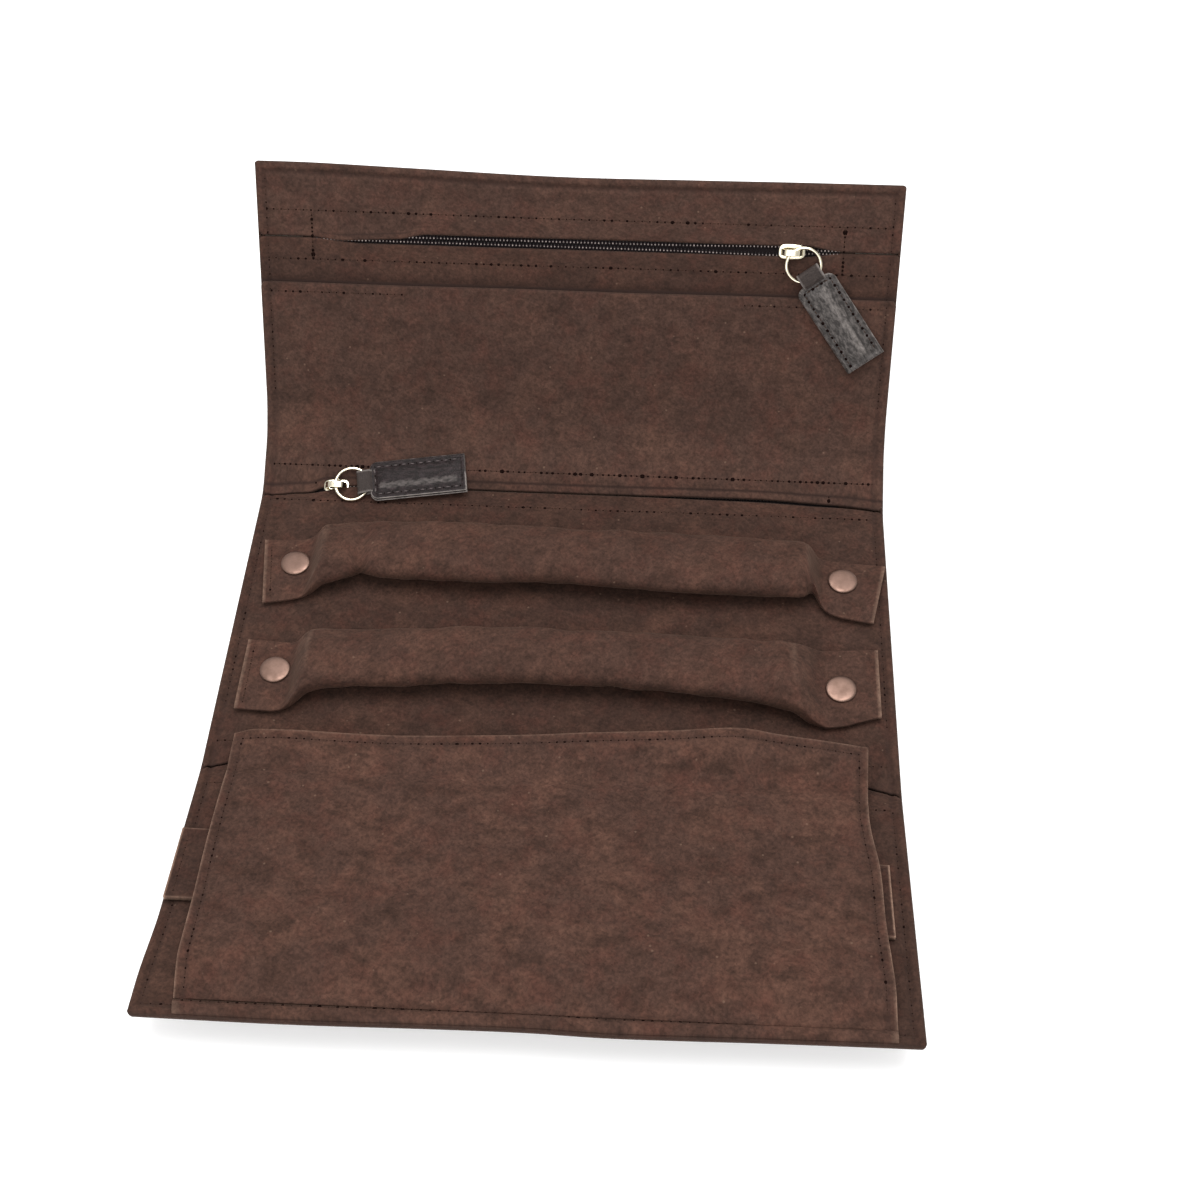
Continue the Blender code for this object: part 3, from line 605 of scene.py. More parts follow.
def sewing(name, rows, surface, move, hole=stitch["hole"], pitch=stitch["pitch"], spread=stitch["holeSpread"],
           thread=threadBrown):
    # Rows of lockstitch: each is a sunk thread between two needle holes, whose shade is painted
    # as dark dots. A row is a list of corner places, and surface gives the point and the upward
    # direction at a place.
    bm = bmesh.new()
    for row in rows:
        for (xA, sA), (xB, sB) in zip(row, row[1:]):
            length = (surface(xB, sB)[0] - surface(xA, sA)[0]).length
            count = max(1, round(length / pitch))
            for k in range(count):
                share = k / count
                x, s = xA + (xB - xA) * share, sA + (sB - sA) * share
                here, up = surface(x, s)
                there, _ = surface(x + (xB - xA) * 0.5 / count, s + (sB - sA) * 0.5 / count)
                forward = (there - here).normalized()
                side = up.cross(forward)
                turn = Matrix((forward, side, up)).transposed().to_4x4()
                middle = there + side * stitch["wobble"] * noise.noise(here * 900)
                opened = hole * (0.75 + spread * (abs(noise.noise(here * 1300)) - 0.2))
                threadSize = stitch["threadLength"] / 2, stitch["threadRadius"], stitch["threadHeight"]
                for centre, size, index in (
                    (here, (opened, opened * 0.85, stitch["holeHeight"]), 1),
                    (middle, threadSize, 0),
                ):
                    made = bmesh.ops.create_icosphere(
                        bm, subdivisions=1, radius=1,
                        matrix=Matrix.Translation(centre) @ turn @ Matrix.Diagonal((*size, 1)),
                    )
                    for face in {f for v in made["verts"] for f in v.link_faces}:
                        face.material_index = index
    return addPiece(name, bm, [thread, needleHoleShade], move)


def rollSurface(heightAt):
    def surface(x, s):
        return onRoll(x, s, heightAt(x, s)), rollUp(s)
    return surface


# Covers: the outside, turned up round the boards at the edges

cover = {
    "rim": -0.00105,
    "side": 0.0022,
    "wall": 0.001,
    "step": 0.004,
    "edgeReach": 0.0035,
    "swell": 0.00025,
    "swellSize": 0.03,
    "crossFold": -0.035,
    "lowerMiddle": -0.06875,
    "upperMiddle": 0.07275,
}
edgeSteps = [cover["side"] * (1 - math.cos(math.pi / 2 * k / 8)) for k in range(9)]
coverAcross = sorted(
    [side * (roll["halfWidth"] - step) for side in (-1, 1) for step in edgeSteps]
    + places(cover["step"] - roll["halfWidth"], roll["halfWidth"] - cover["step"], cover["step"])
)


def coverPiece(name, start, end, outerEnd, inward, move, nodes):
    depth = roll["thickness"] + cover["rim"]
    along = places(start, end, cover["step"])
    if outerEnd is not None:
        inner = [s for s in along if abs(s - outerEnd) > cover["edgeReach"]]
        along = sorted(inner + [outerEnd + inward * step for step in edgeSteps])

    def placeAt(x, s):
        x, s, edge = outline(x, s, outerEnd, inward)
        h = -roll["thickness"] + cover["swell"] * abs(wave(x, s, cover["swellSize"], 7))
        if edge < cover["side"]:
            turn = math.acos(1 - edge / cover["side"])
            h = cover["rim"] - depth * math.sin(turn)
        # a line of painted shade along the very edge
        return onRoll(x, s, h), -0.5 if edge < 0.0002 else 0.0

    def turnedRun(edge):
        # How far the cloth has climbed round the edge, so that its nap isn't stretched there
        if edge >= cover["side"]:
            return 0.0
        return depth * (1 - math.sin(math.acos(1 - edge / cover["side"])))

    def flatAt(x, s):
        ending = inward * turnedRun(abs(outerEnd - s)) if outerEnd is not None else 0.0
        return x + math.copysign(turnedRun(roll["halfWidth"] - abs(x)), x), s - ending

    bm = clothGrid(coverAcross, along, placeAt, flatAt)
    bmesh.ops.reverse_faces(bm, faces=bm.faces)
    addPiece(name, bm, [panelSuede], move, cover["wall"], nodes)


for name, start, end, outerEnd, inward, move, nodes in (
    ("coverFront", roll["front"], cover["lowerMiddle"], roll["front"], 1, "front", ["lower_cover"]),
    ("coverLowFold", cover["lowerMiddle"], cover["crossFold"], None, 1, "lowFold", ["lower_spine_cover"]),
    ("coverHighFold", cover["crossFold"], cover["upperMiddle"], None, 1, "highFold", ["middle_cover"]),
    (
        "coverTop", cover["upperMiddle"], roll["top"], roll["top"], -1, "top",
        ["upper_spine_cover", "upper_cover"],
    ),
):
    coverPiece(name, start, end, outerEnd, inward, moves[move], nodes)
print("covers done")


# Boards of the two outer panels, which follow the wavy edges inside the covers

board = {"wall": 0.0008, "high": -0.0026, "inset": 0.0023, "step": 0.006}


def boardPiece(name, start, end, body, node):
    half = roll["halfWidth"] - board["inset"]
    across = places(-half, half, board["step"])
    along = places(start + board["inset"], end - board["inset"], board["step"])
    bm = clothGrid(across, along, lambda x, s: (straightPoint(x, s + edgeShift(x, s), board["high"]), 0.0))
    addPiece(name, bm, [greyBoard], body, board["wall"], [node])


boardPiece("lowerBoard", roll["front"], roll["lowerCrease"], "lower_panel", "lower_board")
boardPiece("upperBoard", roll["upperCrease"], roll["top"], "upper_panel", "upper_board")
print("boards done")


# Linings

lining = {
    "wall": 0.0009,
    "step": 0.0024,
    "edgeRound": 0.001,
    "edgeShade": (0.4, 0.0005),  # how dark, and how far
    "seamShade": (0.40, 0.0016),
    "lipShade": (0.6, 0.0007),
    "seamDip": 0.0005,
    "seamWidth": 0.0018,
    "turnedRidge": 0.0003,
    "waves": 0.0006,
    "wavesFrom": 0.02,
    "waveSizes": (0.045, 0.016),
    "lipGap": 0.0021,
    "lipRun": 0.012,
    "lipDip": 0.0008,
    "seamGap": 0.00012,
    # the run over which each lip opens at its left and right ends
    "thirdRuns": (0.018, 0.012),
    "facingRuns": (0.020, 0.016),
    "topRuns": (0.042, 0.016),
    # the lips over the second zip stand apart beside its slider and to the right
    "secondGap": 0.0002,
    "secondOpenings": [(-0.106, 0.006, 0.0007), (0.085, 0.07, 0.0004)],
    # the seams pull the outline in a little where they end
    "notch": 0.0012,
    "notchReach": 0.0022,
    "notchFrom": 0.128,
    "notchRun": 0.0045,
    # where the seams over the second and third zips run, which sag at both sides
    "secondSeam": [
        (-0.1325, 0.0557), (-0.125, 0.0559), (-0.119, 0.0568), (-0.112, 0.0573), (-0.106, 0.0592),
        (-0.100, 0.0603), (-0.085, 0.0612), (-0.045, 0.0610), (0.08, 0.0607), (0.102, 0.0598),
        (0.118, 0.0592), (0.1325, 0.0578),
    ],
    "thirdSeam": [
        (-0.1325, -0.0804), (-0.125, -0.0790), (-0.118, -0.0766), (-0.108, -0.0748),
        (0.108, -0.0750), (0.118, -0.0772), (0.125, -0.0790), (0.1325, -0.0806),
    ],
}
liningAcross = places(
    -roll["halfWidth"], roll["halfWidth"], lining["step"],
    [side * (roll["halfWidth"] - step) for side in (-1, 1) for step in (0, roll["seam"])],
)


def secondSag(x):
    return alongCurve(lining["secondSeam"], x) - zips["second"]


def thirdSag(x):
    return alongCurve(lining["thirdSeam"], x) - zips["third"]


def secondGap(x):
    return lining["secondGap"] + hills(x, lining["secondOpenings"])


def liningHeight(x, s, edge):
    h = -foldDip(edge, lining["edgeRound"])
    h -= lining["seamDip"] * bump((edge - roll["seam"]) / lining["seamWidth"])
    h += lining["turnedRidge"] * bump((edge - roll["seam"] / 2) / (roll["seam"] / 2))
    inner = ease((edge - roll["seam"]) / lining["wavesFrom"])
    broad, narrow = [wave(x, s, size, seed) for seed, size in enumerate(lining["waveSizes"], 1)]
    return h + lining["waves"] * inner * (0.6 * broad + 0.4 * narrow)


def dipAt(distance, dip):
    # A soft groove or a shade, given as its depth and its reach
    return -dip[0] * bump(distance / dip[1])


def lipOpening(x, runs):
    # How far a zip's lip stands from its middle, closed towards the bar tacks
    if abs(x) >= zips["half"]:
        return lining["seamGap"]
    opened = ease((x + zips["half"]) / runs[0]) * ease((zips["half"] - x) / runs[1])
    return lining["seamGap"] + (lining["lipGap"] - lining["seamGap"]) * opened


def sideNotch(x, lip):
    inward = lining["notch"] * bump(lip / lining["notchReach"])
    return math.copysign(inward * ease((abs(x) - lining["notchFrom"]) / lining["notchRun"]), x)


def liningPiece(
    name, start, end, outerEnd, inward, move, nodes,
    lowLip=None, highLip=None, marks=(), extra=None, shade=None, cloth=liningSuede,
):
    # lowLip and highLip give how far the cloth stops short at its two ends
    seams = [outerEnd + inward * roll["seam"]] if outerEnd is not None else []
    along = places(start, end, lining["step"], [start, end, *seams, *marks])

    def heightAt(x, s):
        _, _, edge = outline(x, s, outerEnd, inward)
        h = liningHeight(x, s, edge)
        if extra:
            h += extra(x, s)
        return h

    def placeAt(x, s):
        raw = s
        x, s, edge = outline(x, s, outerEnd, inward)
        h = heightAt(x, raw)
        tone = dipAt(edge - roll["seam"], lining["seamShade"]) + dipAt(edge, lining["edgeShade"])
        tone += shade(x, raw) if shade else 0
        for lipAt, lip, way in ((lowLip, raw - start, 1), (highLip, end - raw, -1)):
            if lipAt:
                h -= foldDip(lip, lining["lipDip"])
                tone += dipAt(lip, lining["lipShade"])
                s += way * lipAt(x) * (1 - ease(lip / lining["lipRun"]))
                x -= sideNotch(x, lip)
        return onRoll(x, s, h), max(tone, -1.0)

    bm = clothGrid(liningAcross, along, placeAt)
    addPiece(name, bm, [cloth], move, lining["wall"], nodes)
    return rollSurface(heightAt)


frontSurface = liningPiece(
    "liningFront", roll["front"], zips["third"], roll["front"], 1, moves["front"], ["lower_lining"],
    highLip=lambda x: lipOpening(x, lining["thirdRuns"]) + 0.0002 - thirdSag(x),
    cloth=shadedSuede,
)
lowSurface = liningPiece(
    "liningLowFold", zips["third"], cover["crossFold"], None, 1, moves["lowFold"], ["lower_spine_lining"],
    lowLip=lambda x: lipOpening(x, lining["thirdRuns"]) + 0.0001 + thirdSag(x),
    cloth=shadedSuede,
)
highSurface = liningPiece(
    "liningHighFold", cover["crossFold"], zips["second"], None, 1, moves["highFold"], ["middle_lining"],
    highLip=lambda x: secondGap(x) - secondSag(x),
    cloth=shadedSuede,
)

# The slip pocket, with the strip over the second zip at its foot
pocket = {
    "mouth": 0.14875,
    "mouthWave": 0.0004,
    "mouthShades": ((0.9, 0.0012), (0.3, 0.005)),
    "stripEdge": 0.0664,
    "stripDrop": 0.0006,
    "stripStep": 0.0008,
    "stripDip": (0.0003, 0.0016),
    "stripShade": (0.85, 0.0007),
    "rise": 0.0005,
    "riseFrom": 0.080,
    "riseRun": 0.010,
    "backStart": 0.092,
    "backDip": (0.0009, 0.004),
}


def pocketRise(x, s):
    # The slip pocket stands a cloth's thickness above its back, and the strip lies a step lower
    past = s - pocket["stripEdge"]
    rise = pocket["rise"] * ease((s - pocket["riseFrom"]) / pocket["riseRun"])
    return rise - pocket["stripDrop"] * ease(-past / pocket["stripStep"]) + dipAt(past, pocket["stripDip"])


def stripShade(x, s):
    return dipAt(s - pocket["stripEdge"] + 0.0004, pocket["stripShade"])


def mouthShade(x, s):
    close, wide = pocket["mouthShades"]
    past = s - pocket["mouth"]
    return dipAt(past - 0.0003, close) + dipAt(past, wide)


pocketSurface = liningPiece(
    "slipPocketFront", zips["second"], pocket["mouth"], None, 1, moves["top"],
    ["upper_spine_lining", "slip_pocket"],
    lowLip=lambda x: secondSag(x) + secondGap(x),
    highLip=lambda x: pocket["mouthWave"] * wave(x, 0, 0.05, 17),
    marks=[pocket["stripEdge"]],
    extra=pocketRise,
    shade=stripShade,
)
facingSurface = liningPiece(
    "zipFacing", pocket["backStart"], zips["first"], None, 1, "upper_panel", ["upper_zip_facing"],
    highLip=lambda x: lipOpening(x, lining["facingRuns"]),
    marks=[pocket["mouth"] + 0.0005],
    extra=lambda x, s: dipAt(s - pocket["mouth"], pocket["backDip"]),
    shade=mouthShade,
    cloth=shadedSuede,
)

# At the left the lip over the first zip droops over the teeth, with a crease above it
droop = {
    "by": 0.0020,
    "from": -0.112,
    "fromRun": 0.016,
    "to": -0.062,
    "toRun": 0.012,
    "crease": zips["first"] + 0.0025,
    "creaseShade": (0.75, 0.0006),
}


def puckered(x):
    return ease((x - droop["from"]) / droop["fromRun"]) * ease((droop["to"] - x) / droop["toRun"])


topSurface = liningPiece(
    "topStrip", zips["first"], roll["top"], roll["top"], -1, "upper_panel", ["upper_lining_top"],
    lowLip=lambda x: lipOpening(x, lining["topRuns"]) - droop["by"] * puckered(x),
    marks=[droop["crease"]],
    shade=lambda x, s: puckered(x) * dipAt(s - droop["crease"], droop["creaseShade"]),
)
print("linings done")


# Zips: woven tapes, and two rows of nylon coil

zipLook = {
    "pitch": 0.00145,
    "coilWidth": 0.0017,
    "coilFlatness": 0.55,
    "coilDepth": -0.0009,
    "wire": 0.00028,
    "turnSteps": 6,
    "tapeDepth": -0.0013,
    "tapeWall": 0.0004,
    "tapeEnds": 0.005,
    "tapeSteps": (0.006, 0.002),
    "endGap": 0.001,
    "glintReach": 0.0006,
    "glintFrom": 0.0007,
}
# How far each row stands from the zip's middle: open up to the slider, closed past it
rowSpread = {
    1: [
        (-0.109, 0.0007), (-0.085, 0.0009), (0.0, 0.0010), (0.045, 0.0012), (0.076, 0.0017),
        (0.090, 0.0016), (0.096, 0.0007), (0.109, 0.0007),
    ],
    2: [
        (-0.109, 0.0007), (-0.106, 0.0007), (-0.102, 0.0016), (-0.088, 0.0017), (-0.06, 0.0012),
        (0.109, 0.0009),
    ],
    3: [
        (-0.109, 0.0007), (0.01, 0.0010), (0.042, 0.0016), (0.053, 0.0016), (0.059, 0.0007),
        (0.109, 0.0007),
    ],
}


def zipPieces(number, s, body, low, high, sunk=0.0):
    # low and high are how far the tape reaches on each side of the zip's middle
    half = zips["half"]
    bm = clothGrid(
        places(-half - zipLook["tapeEnds"], half + zipLook["tapeEnds"], zipLook["tapeSteps"][0]),
        places(s - low, s + high, zipLook["tapeSteps"][1], [s]),
        lambda x, place: (straightPoint(x, place, zipLook["tapeDepth"] - sunk), 0.0),
    )
    chain = [f"zip_{number}_chain"]
    addPiece(f"zip{number}Tape", bm, [zipTape], body, zipLook["tapeWall"], chain)
    # One turn of the coil, an arch across its row, repeated along the zip
    bm = bmesh.new()
    toneLayer = bm.verts.layers.float.new("tone")
    seated = set()
    for side in (-1, 1):
        ring = bmesh.ops.create_circle(
            bm, cap_ends=True, segments=5, radius=zipLook["wire"],
            matrix=Matrix.Translation((0, zipLook["coilWidth"] / 2, 0)),
        )["verts"]
        edges = list({e for v in ring for e in v.link_edges})
        bmesh.ops.spin(
            bm, geom=ring + edges, cent=(0, 0, 0), axis=(1, 0, 0), angle=math.pi, steps=zipLook["turnSteps"],
        )
        made = [v for v in bm.verts if not v.tag]
        for vert in made:
            # the top of each turn carries the painted highlight
            glint = bump(vert.co.y / zipLook["glintReach"])
            vert[toneLayer] = glint if vert.co.z > zipLook["glintFrom"] else 0.0
        bmesh.ops.scale(bm, vec=(1, 1, zipLook["coilFlatness"]), verts=made)
        start = -half + zipLook["endGap"] + (0.5 if side > 0 else 0) * zipLook["pitch"]
        bmesh.ops.translate(bm, vec=(start, 0, zipLook["coilDepth"]), verts=made)
        edges = list({e for v in made for e in v.link_edges})
        faces = list({f for v in made for f in v.link_faces})
        for vert in made:
            vert.tag = True
        steps = int(2 * (half - zipLook["endGap"]) / zipLook["pitch"])
        bmesh.ops.spin(
            bm, geom=made + edges + faces, cent=(0, 0, 0), axis=(1, 0, 0), dvec=(zipLook["pitch"], 0, 0),
            angle=0, steps=steps, use_duplicate=True,
        )
        for vert in bm.verts:
            vert.tag = True
            if vert not in seated:
                vert.co.y += side * alongCurve(rowSpread[number], vert.co.x)
                seated.add(vert)
    bmesh.ops.recalc_face_normals(bm, faces=bm.faces)
    y, z, slope = straightPlace(s)
    place = Matrix.Translation((0, y, z)) @ Matrix.Rotation(slope, 4, "X") @ Matrix.Translation((0, 0, -sunk))
    bmesh.ops.transform(bm, matrix=place, verts=bm.verts)
    addPiece(f"zip{number}Coil", bm, [blackCoil], body, 0.0, chain)


zipPieces(1, zips["first"], "upper_panel", 0.010, 0.010)
zipPieces(2, zips["second"], "upper_spine", 0.005, 0.010, 0.0011)
zipPieces(3, zips["third"], "lower_spine", 0.005, 0.010)
print("zips done")


# Stitching on the linings

half, seam = roll["halfWidth"], roll["seam"]


def sideRows(low, high):
    return [[(x, low), (x, high)] for x in (seam - half, half - seam)]


def crossRow(s):
    return [[(seam - half, s), (half - seam, s)]]


def tackRows(low, high, right, left=-0.1098):
    # The bar tacks across a zip's two ends
    return [[(x, low), (x, high)] for x in (left, right)]


# Rows, surface, body, hole and pitch. The side seams sit deep in the nap.
pitch, close = stitch["pitch"], 0.0018
fine, usual, wide, tack = 0.00045, stitch["hole"], 0.00078, 0.00085
zip3, cross, mouth = zips["third"], cover["crossFold"], pocket["mouth"]
for name, rows, surface, body, hole, rowPitch in (
    ("frontStitches", sideRows(-0.0885, roll["front"] + seam), frontSurface, "lower_panel", fine, pitch),
    ("frontEdgeStitches", crossRow(roll["front"] + seam), frontSurface, "lower_panel", fine, pitch),
    ("topStitches", sideRows(0.1690, roll["top"] - seam), topSurface, "upper_panel", fine, pitch),
    ("facingStitches", sideRows(mouth, 0.1665), facingSurface, "upper_panel", fine, pitch),
    ("pocketSideStitches", sideRows(0.103, mouth), pocketSurface, "upper_panel", fine, pitch),
    ("middleLowStitches", sideRows(-0.050, cross), lowSurface, "middle_panel", fine, pitch),
    ("middleHighStitches", sideRows(cross, 0.048), highSurface, "middle_panel", fine, pitch),
    ("zip3LowStitches", crossRow(zip3 - 0.013), frontSurface, "lower_panel", usual, pitch),
    ("zip3HighStitches", crossRow(zip3 + 0.0065), lowSurface, "lower_spine", usual, pitch),
    ("zip2LowStitches", crossRow(0.0533), highSurface, moves["highFold"], usual, pitch),
    ("zip2HighStitches", crossRow(0.0695), pocketSurface, "upper_spine", wide, 0.0024),
    ("zip2TackStitches", tackRows(0.0618, 0.0668, 0.1095), pocketSurface, "upper_spine", wide, close),
    (
        "pocketMouthStitches", [[(-0.128, 0.1450), (-0.070, 0.1450)], [(0.070, 0.1450), (0.128, 0.1450)]],
        pocketSurface, "upper_panel", usual, pitch,
    ),
    ("zip1LowStitches", crossRow(0.1587), facingSurface, "upper_panel", usual, pitch),
    ("zip1HighStitches", crossRow(0.1785), topSurface, "upper_panel", usual, pitch),
    ("tackLowStitches", tackRows(0.1590, 0.1672, 0.1092), facingSurface, "upper_panel", tack, close),
    ("tackHighStitches", tackRows(0.1683, 0.1782, 0.1092), topSurface, "upper_panel", tack, close),
):
    sewing(name, rows, surface, body, hole, rowPitch)
print("stitches done")


# Flap over the lower panel

flap = {
    "join": -0.18180,  # where the hem ends and the sheet that lifts starts
    "hinge": (-0.1838, -0.1818),
    "height": 0.0066,
    "low": 0.0016,
    "ramp": 0.016,
    "bendAt": -0.08595,
    "bendPlace": Vector((0, -0.084963, 0.011541)),
    "bendReach": 0.004,
    "tipRise": math.radians(17),
    "wall": 0.0013,
    "hemWall": 0.0009,
    "seam": 0.0032,
    "groove": (0.0006, 0.0018),
    "grooveShade": (0.4, 0.0014),
    "frayWidth": 0.0007,
    "fraySize": 0.006,
    "freeRun": 0.02,
    "swells": ((0.0007, 0.05), (0.0003, 0.018)),  # height and size
    "liftRun": 0.024,
    "hole": 0.0005,
    "rowStep": 0.012,
    "sideRow": (0.004, 0.012),  # how far past the hem and past the bend
    "endRow": (-0.1160, 0.1155),
    "hemRow": (-0.1150, 0.1190),
    "hemInset": 0.0006,
    "hemRidges": [(0.0028, 0.0024, 0.0002)],
    # the side edges as (s, x), and the free end's length and lift as (x, metres)
    "left": [
        (-0.1873, -0.1180), (-0.175, -0.1195), (-0.145, -0.1198), (-0.118, -0.1206),
        (-0.094, -0.1203), (-0.060, -0.1190),
    ],
    "right": [
        (-0.1873, 0.1230), (-0.175, 0.1229), (-0.163, 0.1224), (-0.144, 0.1213),
        (-0.119, 0.1209), (-0.101, 0.1187), (-0.085, 0.1186), (-0.060, 0.1192),
    ],
    "reach": [
        (-0.120, 0.0160), (-0.112, 0.0182), (-0.057, 0.0178), (-0.009, 0.0200), (0.015, 0.0212),
        (0.045, 0.0226), (0.071, 0.0240), (0.085, 0.0228), (0.100, 0.0218), (0.119, 0.0200),
    ],
    "lift": [
        (-0.120, 0.0), (-0.057, 0.0), (-0.009, 0.0011), (0.015, 0.0024), (0.045, 0.0043),
        (0.071, 0.0059), (0.085, 0.0045), (0.100, 0.0029), (0.119, 0.0016),
    ],
}


def flapPoint(x, s):
    # s runs along the flap's own cloth, and past its bend into the free end
    y, z, slope = straightPlace(min(s, flap["bendAt"]))
    past = s - flap["bendAt"]
    h = flap["low"] + (flap["height"] - flap["low"]) * ease((s - flap["join"]) / flap["ramp"])
    free = ease((s - flap["join"]) / flap["freeRun"])
    h += free * sum(high * wave(x, s, size, seed) for seed, (high, size) in enumerate(flap["swells"], 11))
    h += alongCurve(flap["lift"], x) * ease((past + 0.003) / flap["liftRun"])
    left, right = alongCurve(flap["left"], s), alongCurve(flap["right"], s)
    edge = min(x - left, right - x, flap["bendAt"] + alongCurve(flap["reach"], x) - s)
    h += dipAt(edge - flap["seam"], flap["groove"])
    rise = flap["tipRise"] * ease((past + flap["bendReach"]) / (2 * flap["bendReach"]))
    run = max(past, 0.0)
    slope += rise if past > 0 else 0.0
    y, z = y + run * math.cos(slope), z + run * math.sin(slope)
    turned = roll["lowerTilt"] + rise
    return Vector((x, y - h * math.sin(turned), z + h * math.cos(turned))), edge, turned


def flapTone(x, s, edge):
    # A frayed pale line at the cut edge, and shade in the stitched groove
    frayed = 0.5 + 0.5 * wave(x, s, flap["fraySize"], 31)
    if s > flap["bendAt"]:
        frayed *= 0.5
    return frayed * bump(edge / flap["frayWidth"]) + dipAt(edge - flap["seam"], flap["grooveShade"])


def flapFlat(u, v):
    # u goes from the flap's left edge to its right one, and v from the hem to the free edge
    start, end = flap["reach"][0][0], flap["reach"][-1][0]
    reach = alongCurve(flap["reach"], start + (end - start) * u)
    s = flap["join"] + (flap["bendAt"] + reach - flap["join"]) * v
    return alongCurve(flap["left"], s) * (1 - u) + alongCurve(flap["right"], s) * u, s


def flapPlace(u, v):
    x, s = flapFlat(u, v)
    point, edge, _ = flapPoint(x, s)
    return point, flapTone(x, s, edge)


bm = clothGrid(
    places(0, 1, 0.012, [0.0, 0.0133, 0.9867, 1.0], 0.008, 0.002),
    places(0, 1, 0.018, [0.972, 1.0], 0.012, 0.004),
    flapPlace,
    flapFlat,
)
flapMove = (
    "flap", "flap_tip",
    flap["bendPlace"] - Vector((0, flap["bendReach"], 0)),
    flap["bendPlace"] + Vector((0, flap["bendReach"], 0.0004)),
)
flapPiece = addPiece("flapSheet", bm, [flapSuede], flapMove, flap["wall"], ["flap", "flap_tip"])


def hemPlace(x, s):
    # The flap's hem, sewn down at the front edge
    left, right = alongCurve(flap["left"], s), alongCurve(flap["right"], s)
    hemLeft, hemRight = flap["left"][0][1], flap["right"][0][1]
    u = (x - hemLeft) / (hemRight - hemLeft)
    x = left * (1 - u) + right * u
    edge = min(x - left, right - x)
    toFront, toJoin = s - roll["front"], s - flap["join"]
    h = flap["low"] - foldDip(toFront, flap["low"], flap["low"])
    h += dipAt(toJoin, flap["groove"]) + hills(toFront, flap["hemRidges"])
    frayed = 0.2 + 0.3 * wave(x, s, flap["fraySize"], 31)
    return onRoll(x, s, h), frayed * bump(edge / flap["frayWidth"]) + dipAt(toJoin, flap["grooveShade"])


hemMove = ("lower_panel", "flap", onRoll(0, flap["hinge"][0], 0.001), onRoll(0, flap["hinge"][1], 0.001))
bm = clothGrid(
    places(flap["left"][0][1], flap["right"][0][1], 0.003),
    places(roll["front"] + 0.0001, flap["join"], 0.0006),
    hemPlace,
)
addPiece("flapHem", bm, [flapSuede], hemMove, flap["hemWall"], ["flap"])


def flapSurface(x, s):
    point, _, slope = flapPoint(x, s)
    return point, Matrix.Rotation(slope, 3, "X") @ Vector((0, 0, 1))


def flapEdgeRow(side, inset):
    pastHem, pastBend = flap["sideRow"]
    stations = places(flap["join"] + pastHem, flap["bendAt"] + pastBend, flap["rowStep"])
    return [(alongCurve(flap[side], s) + inset, s) for s in stations]


def hemSurface(x, s):
    return hemPlace(x, s)[0], rollUp(s)


topRow = [
    (x, flap["bendAt"] + alongCurve(flap["reach"], x) - flap["seam"])
    for x in places(*flap["endRow"], flap["rowStep"])
]
leftRow = flapEdgeRow("left", flap["seam"])
rightRow = flapEdgeRow("right", -flap["seam"])
sewing("flapStitches", [leftRow + topRow + rightRow[::-1]], flapSurface, flapMove, flap["hole"])
hemRow = [(x, flap["join"] - flap["hemInset"]) for x in flap["hemRow"]]
sewing("flapHemStitches", [hemRow], hemSurface, "flap")
print("flap done")


# Padded bars that hold rings and earrings

bars = {
    "lift": 0.00185,
    "tabThickness": 0.0014,
    "padHeight": 0.0125,
    "padRoundness": 2.3,
    "tabSquareness": 8,
    "arch": 0.002,
    "hingeFrom": -0.110,
    "hingeTo": -0.098,
    "hingeHeight": 0.0066,
    "around": 72,
    "step": 0.0016,
    "stitchIn": 0.0030,
    "hole": 0.0004,
    # uneven stuffing as (height, cloth per radian, size, seed): swells, then dents on the near side
    "swells": ((0.0007, 0.012, 0.022, 0), (0.0006, 0.010, 0.009, 5)),
    "dents": (0.0004, 0.008, 0.005, 8),
    "dentsAt": (-0.9, 1.2),
    # gathers that run in from the snaps at the left and right
    "gather": 0.0011,
    "gatherReach": (0.018, 0.016),
    "skewFrom": (-0.114, 0.116),
    "skewRun": (0.010, 0.012),
    "frayWidth": 0.0006,
    "ridge": (0.0015, 0.0018),
}
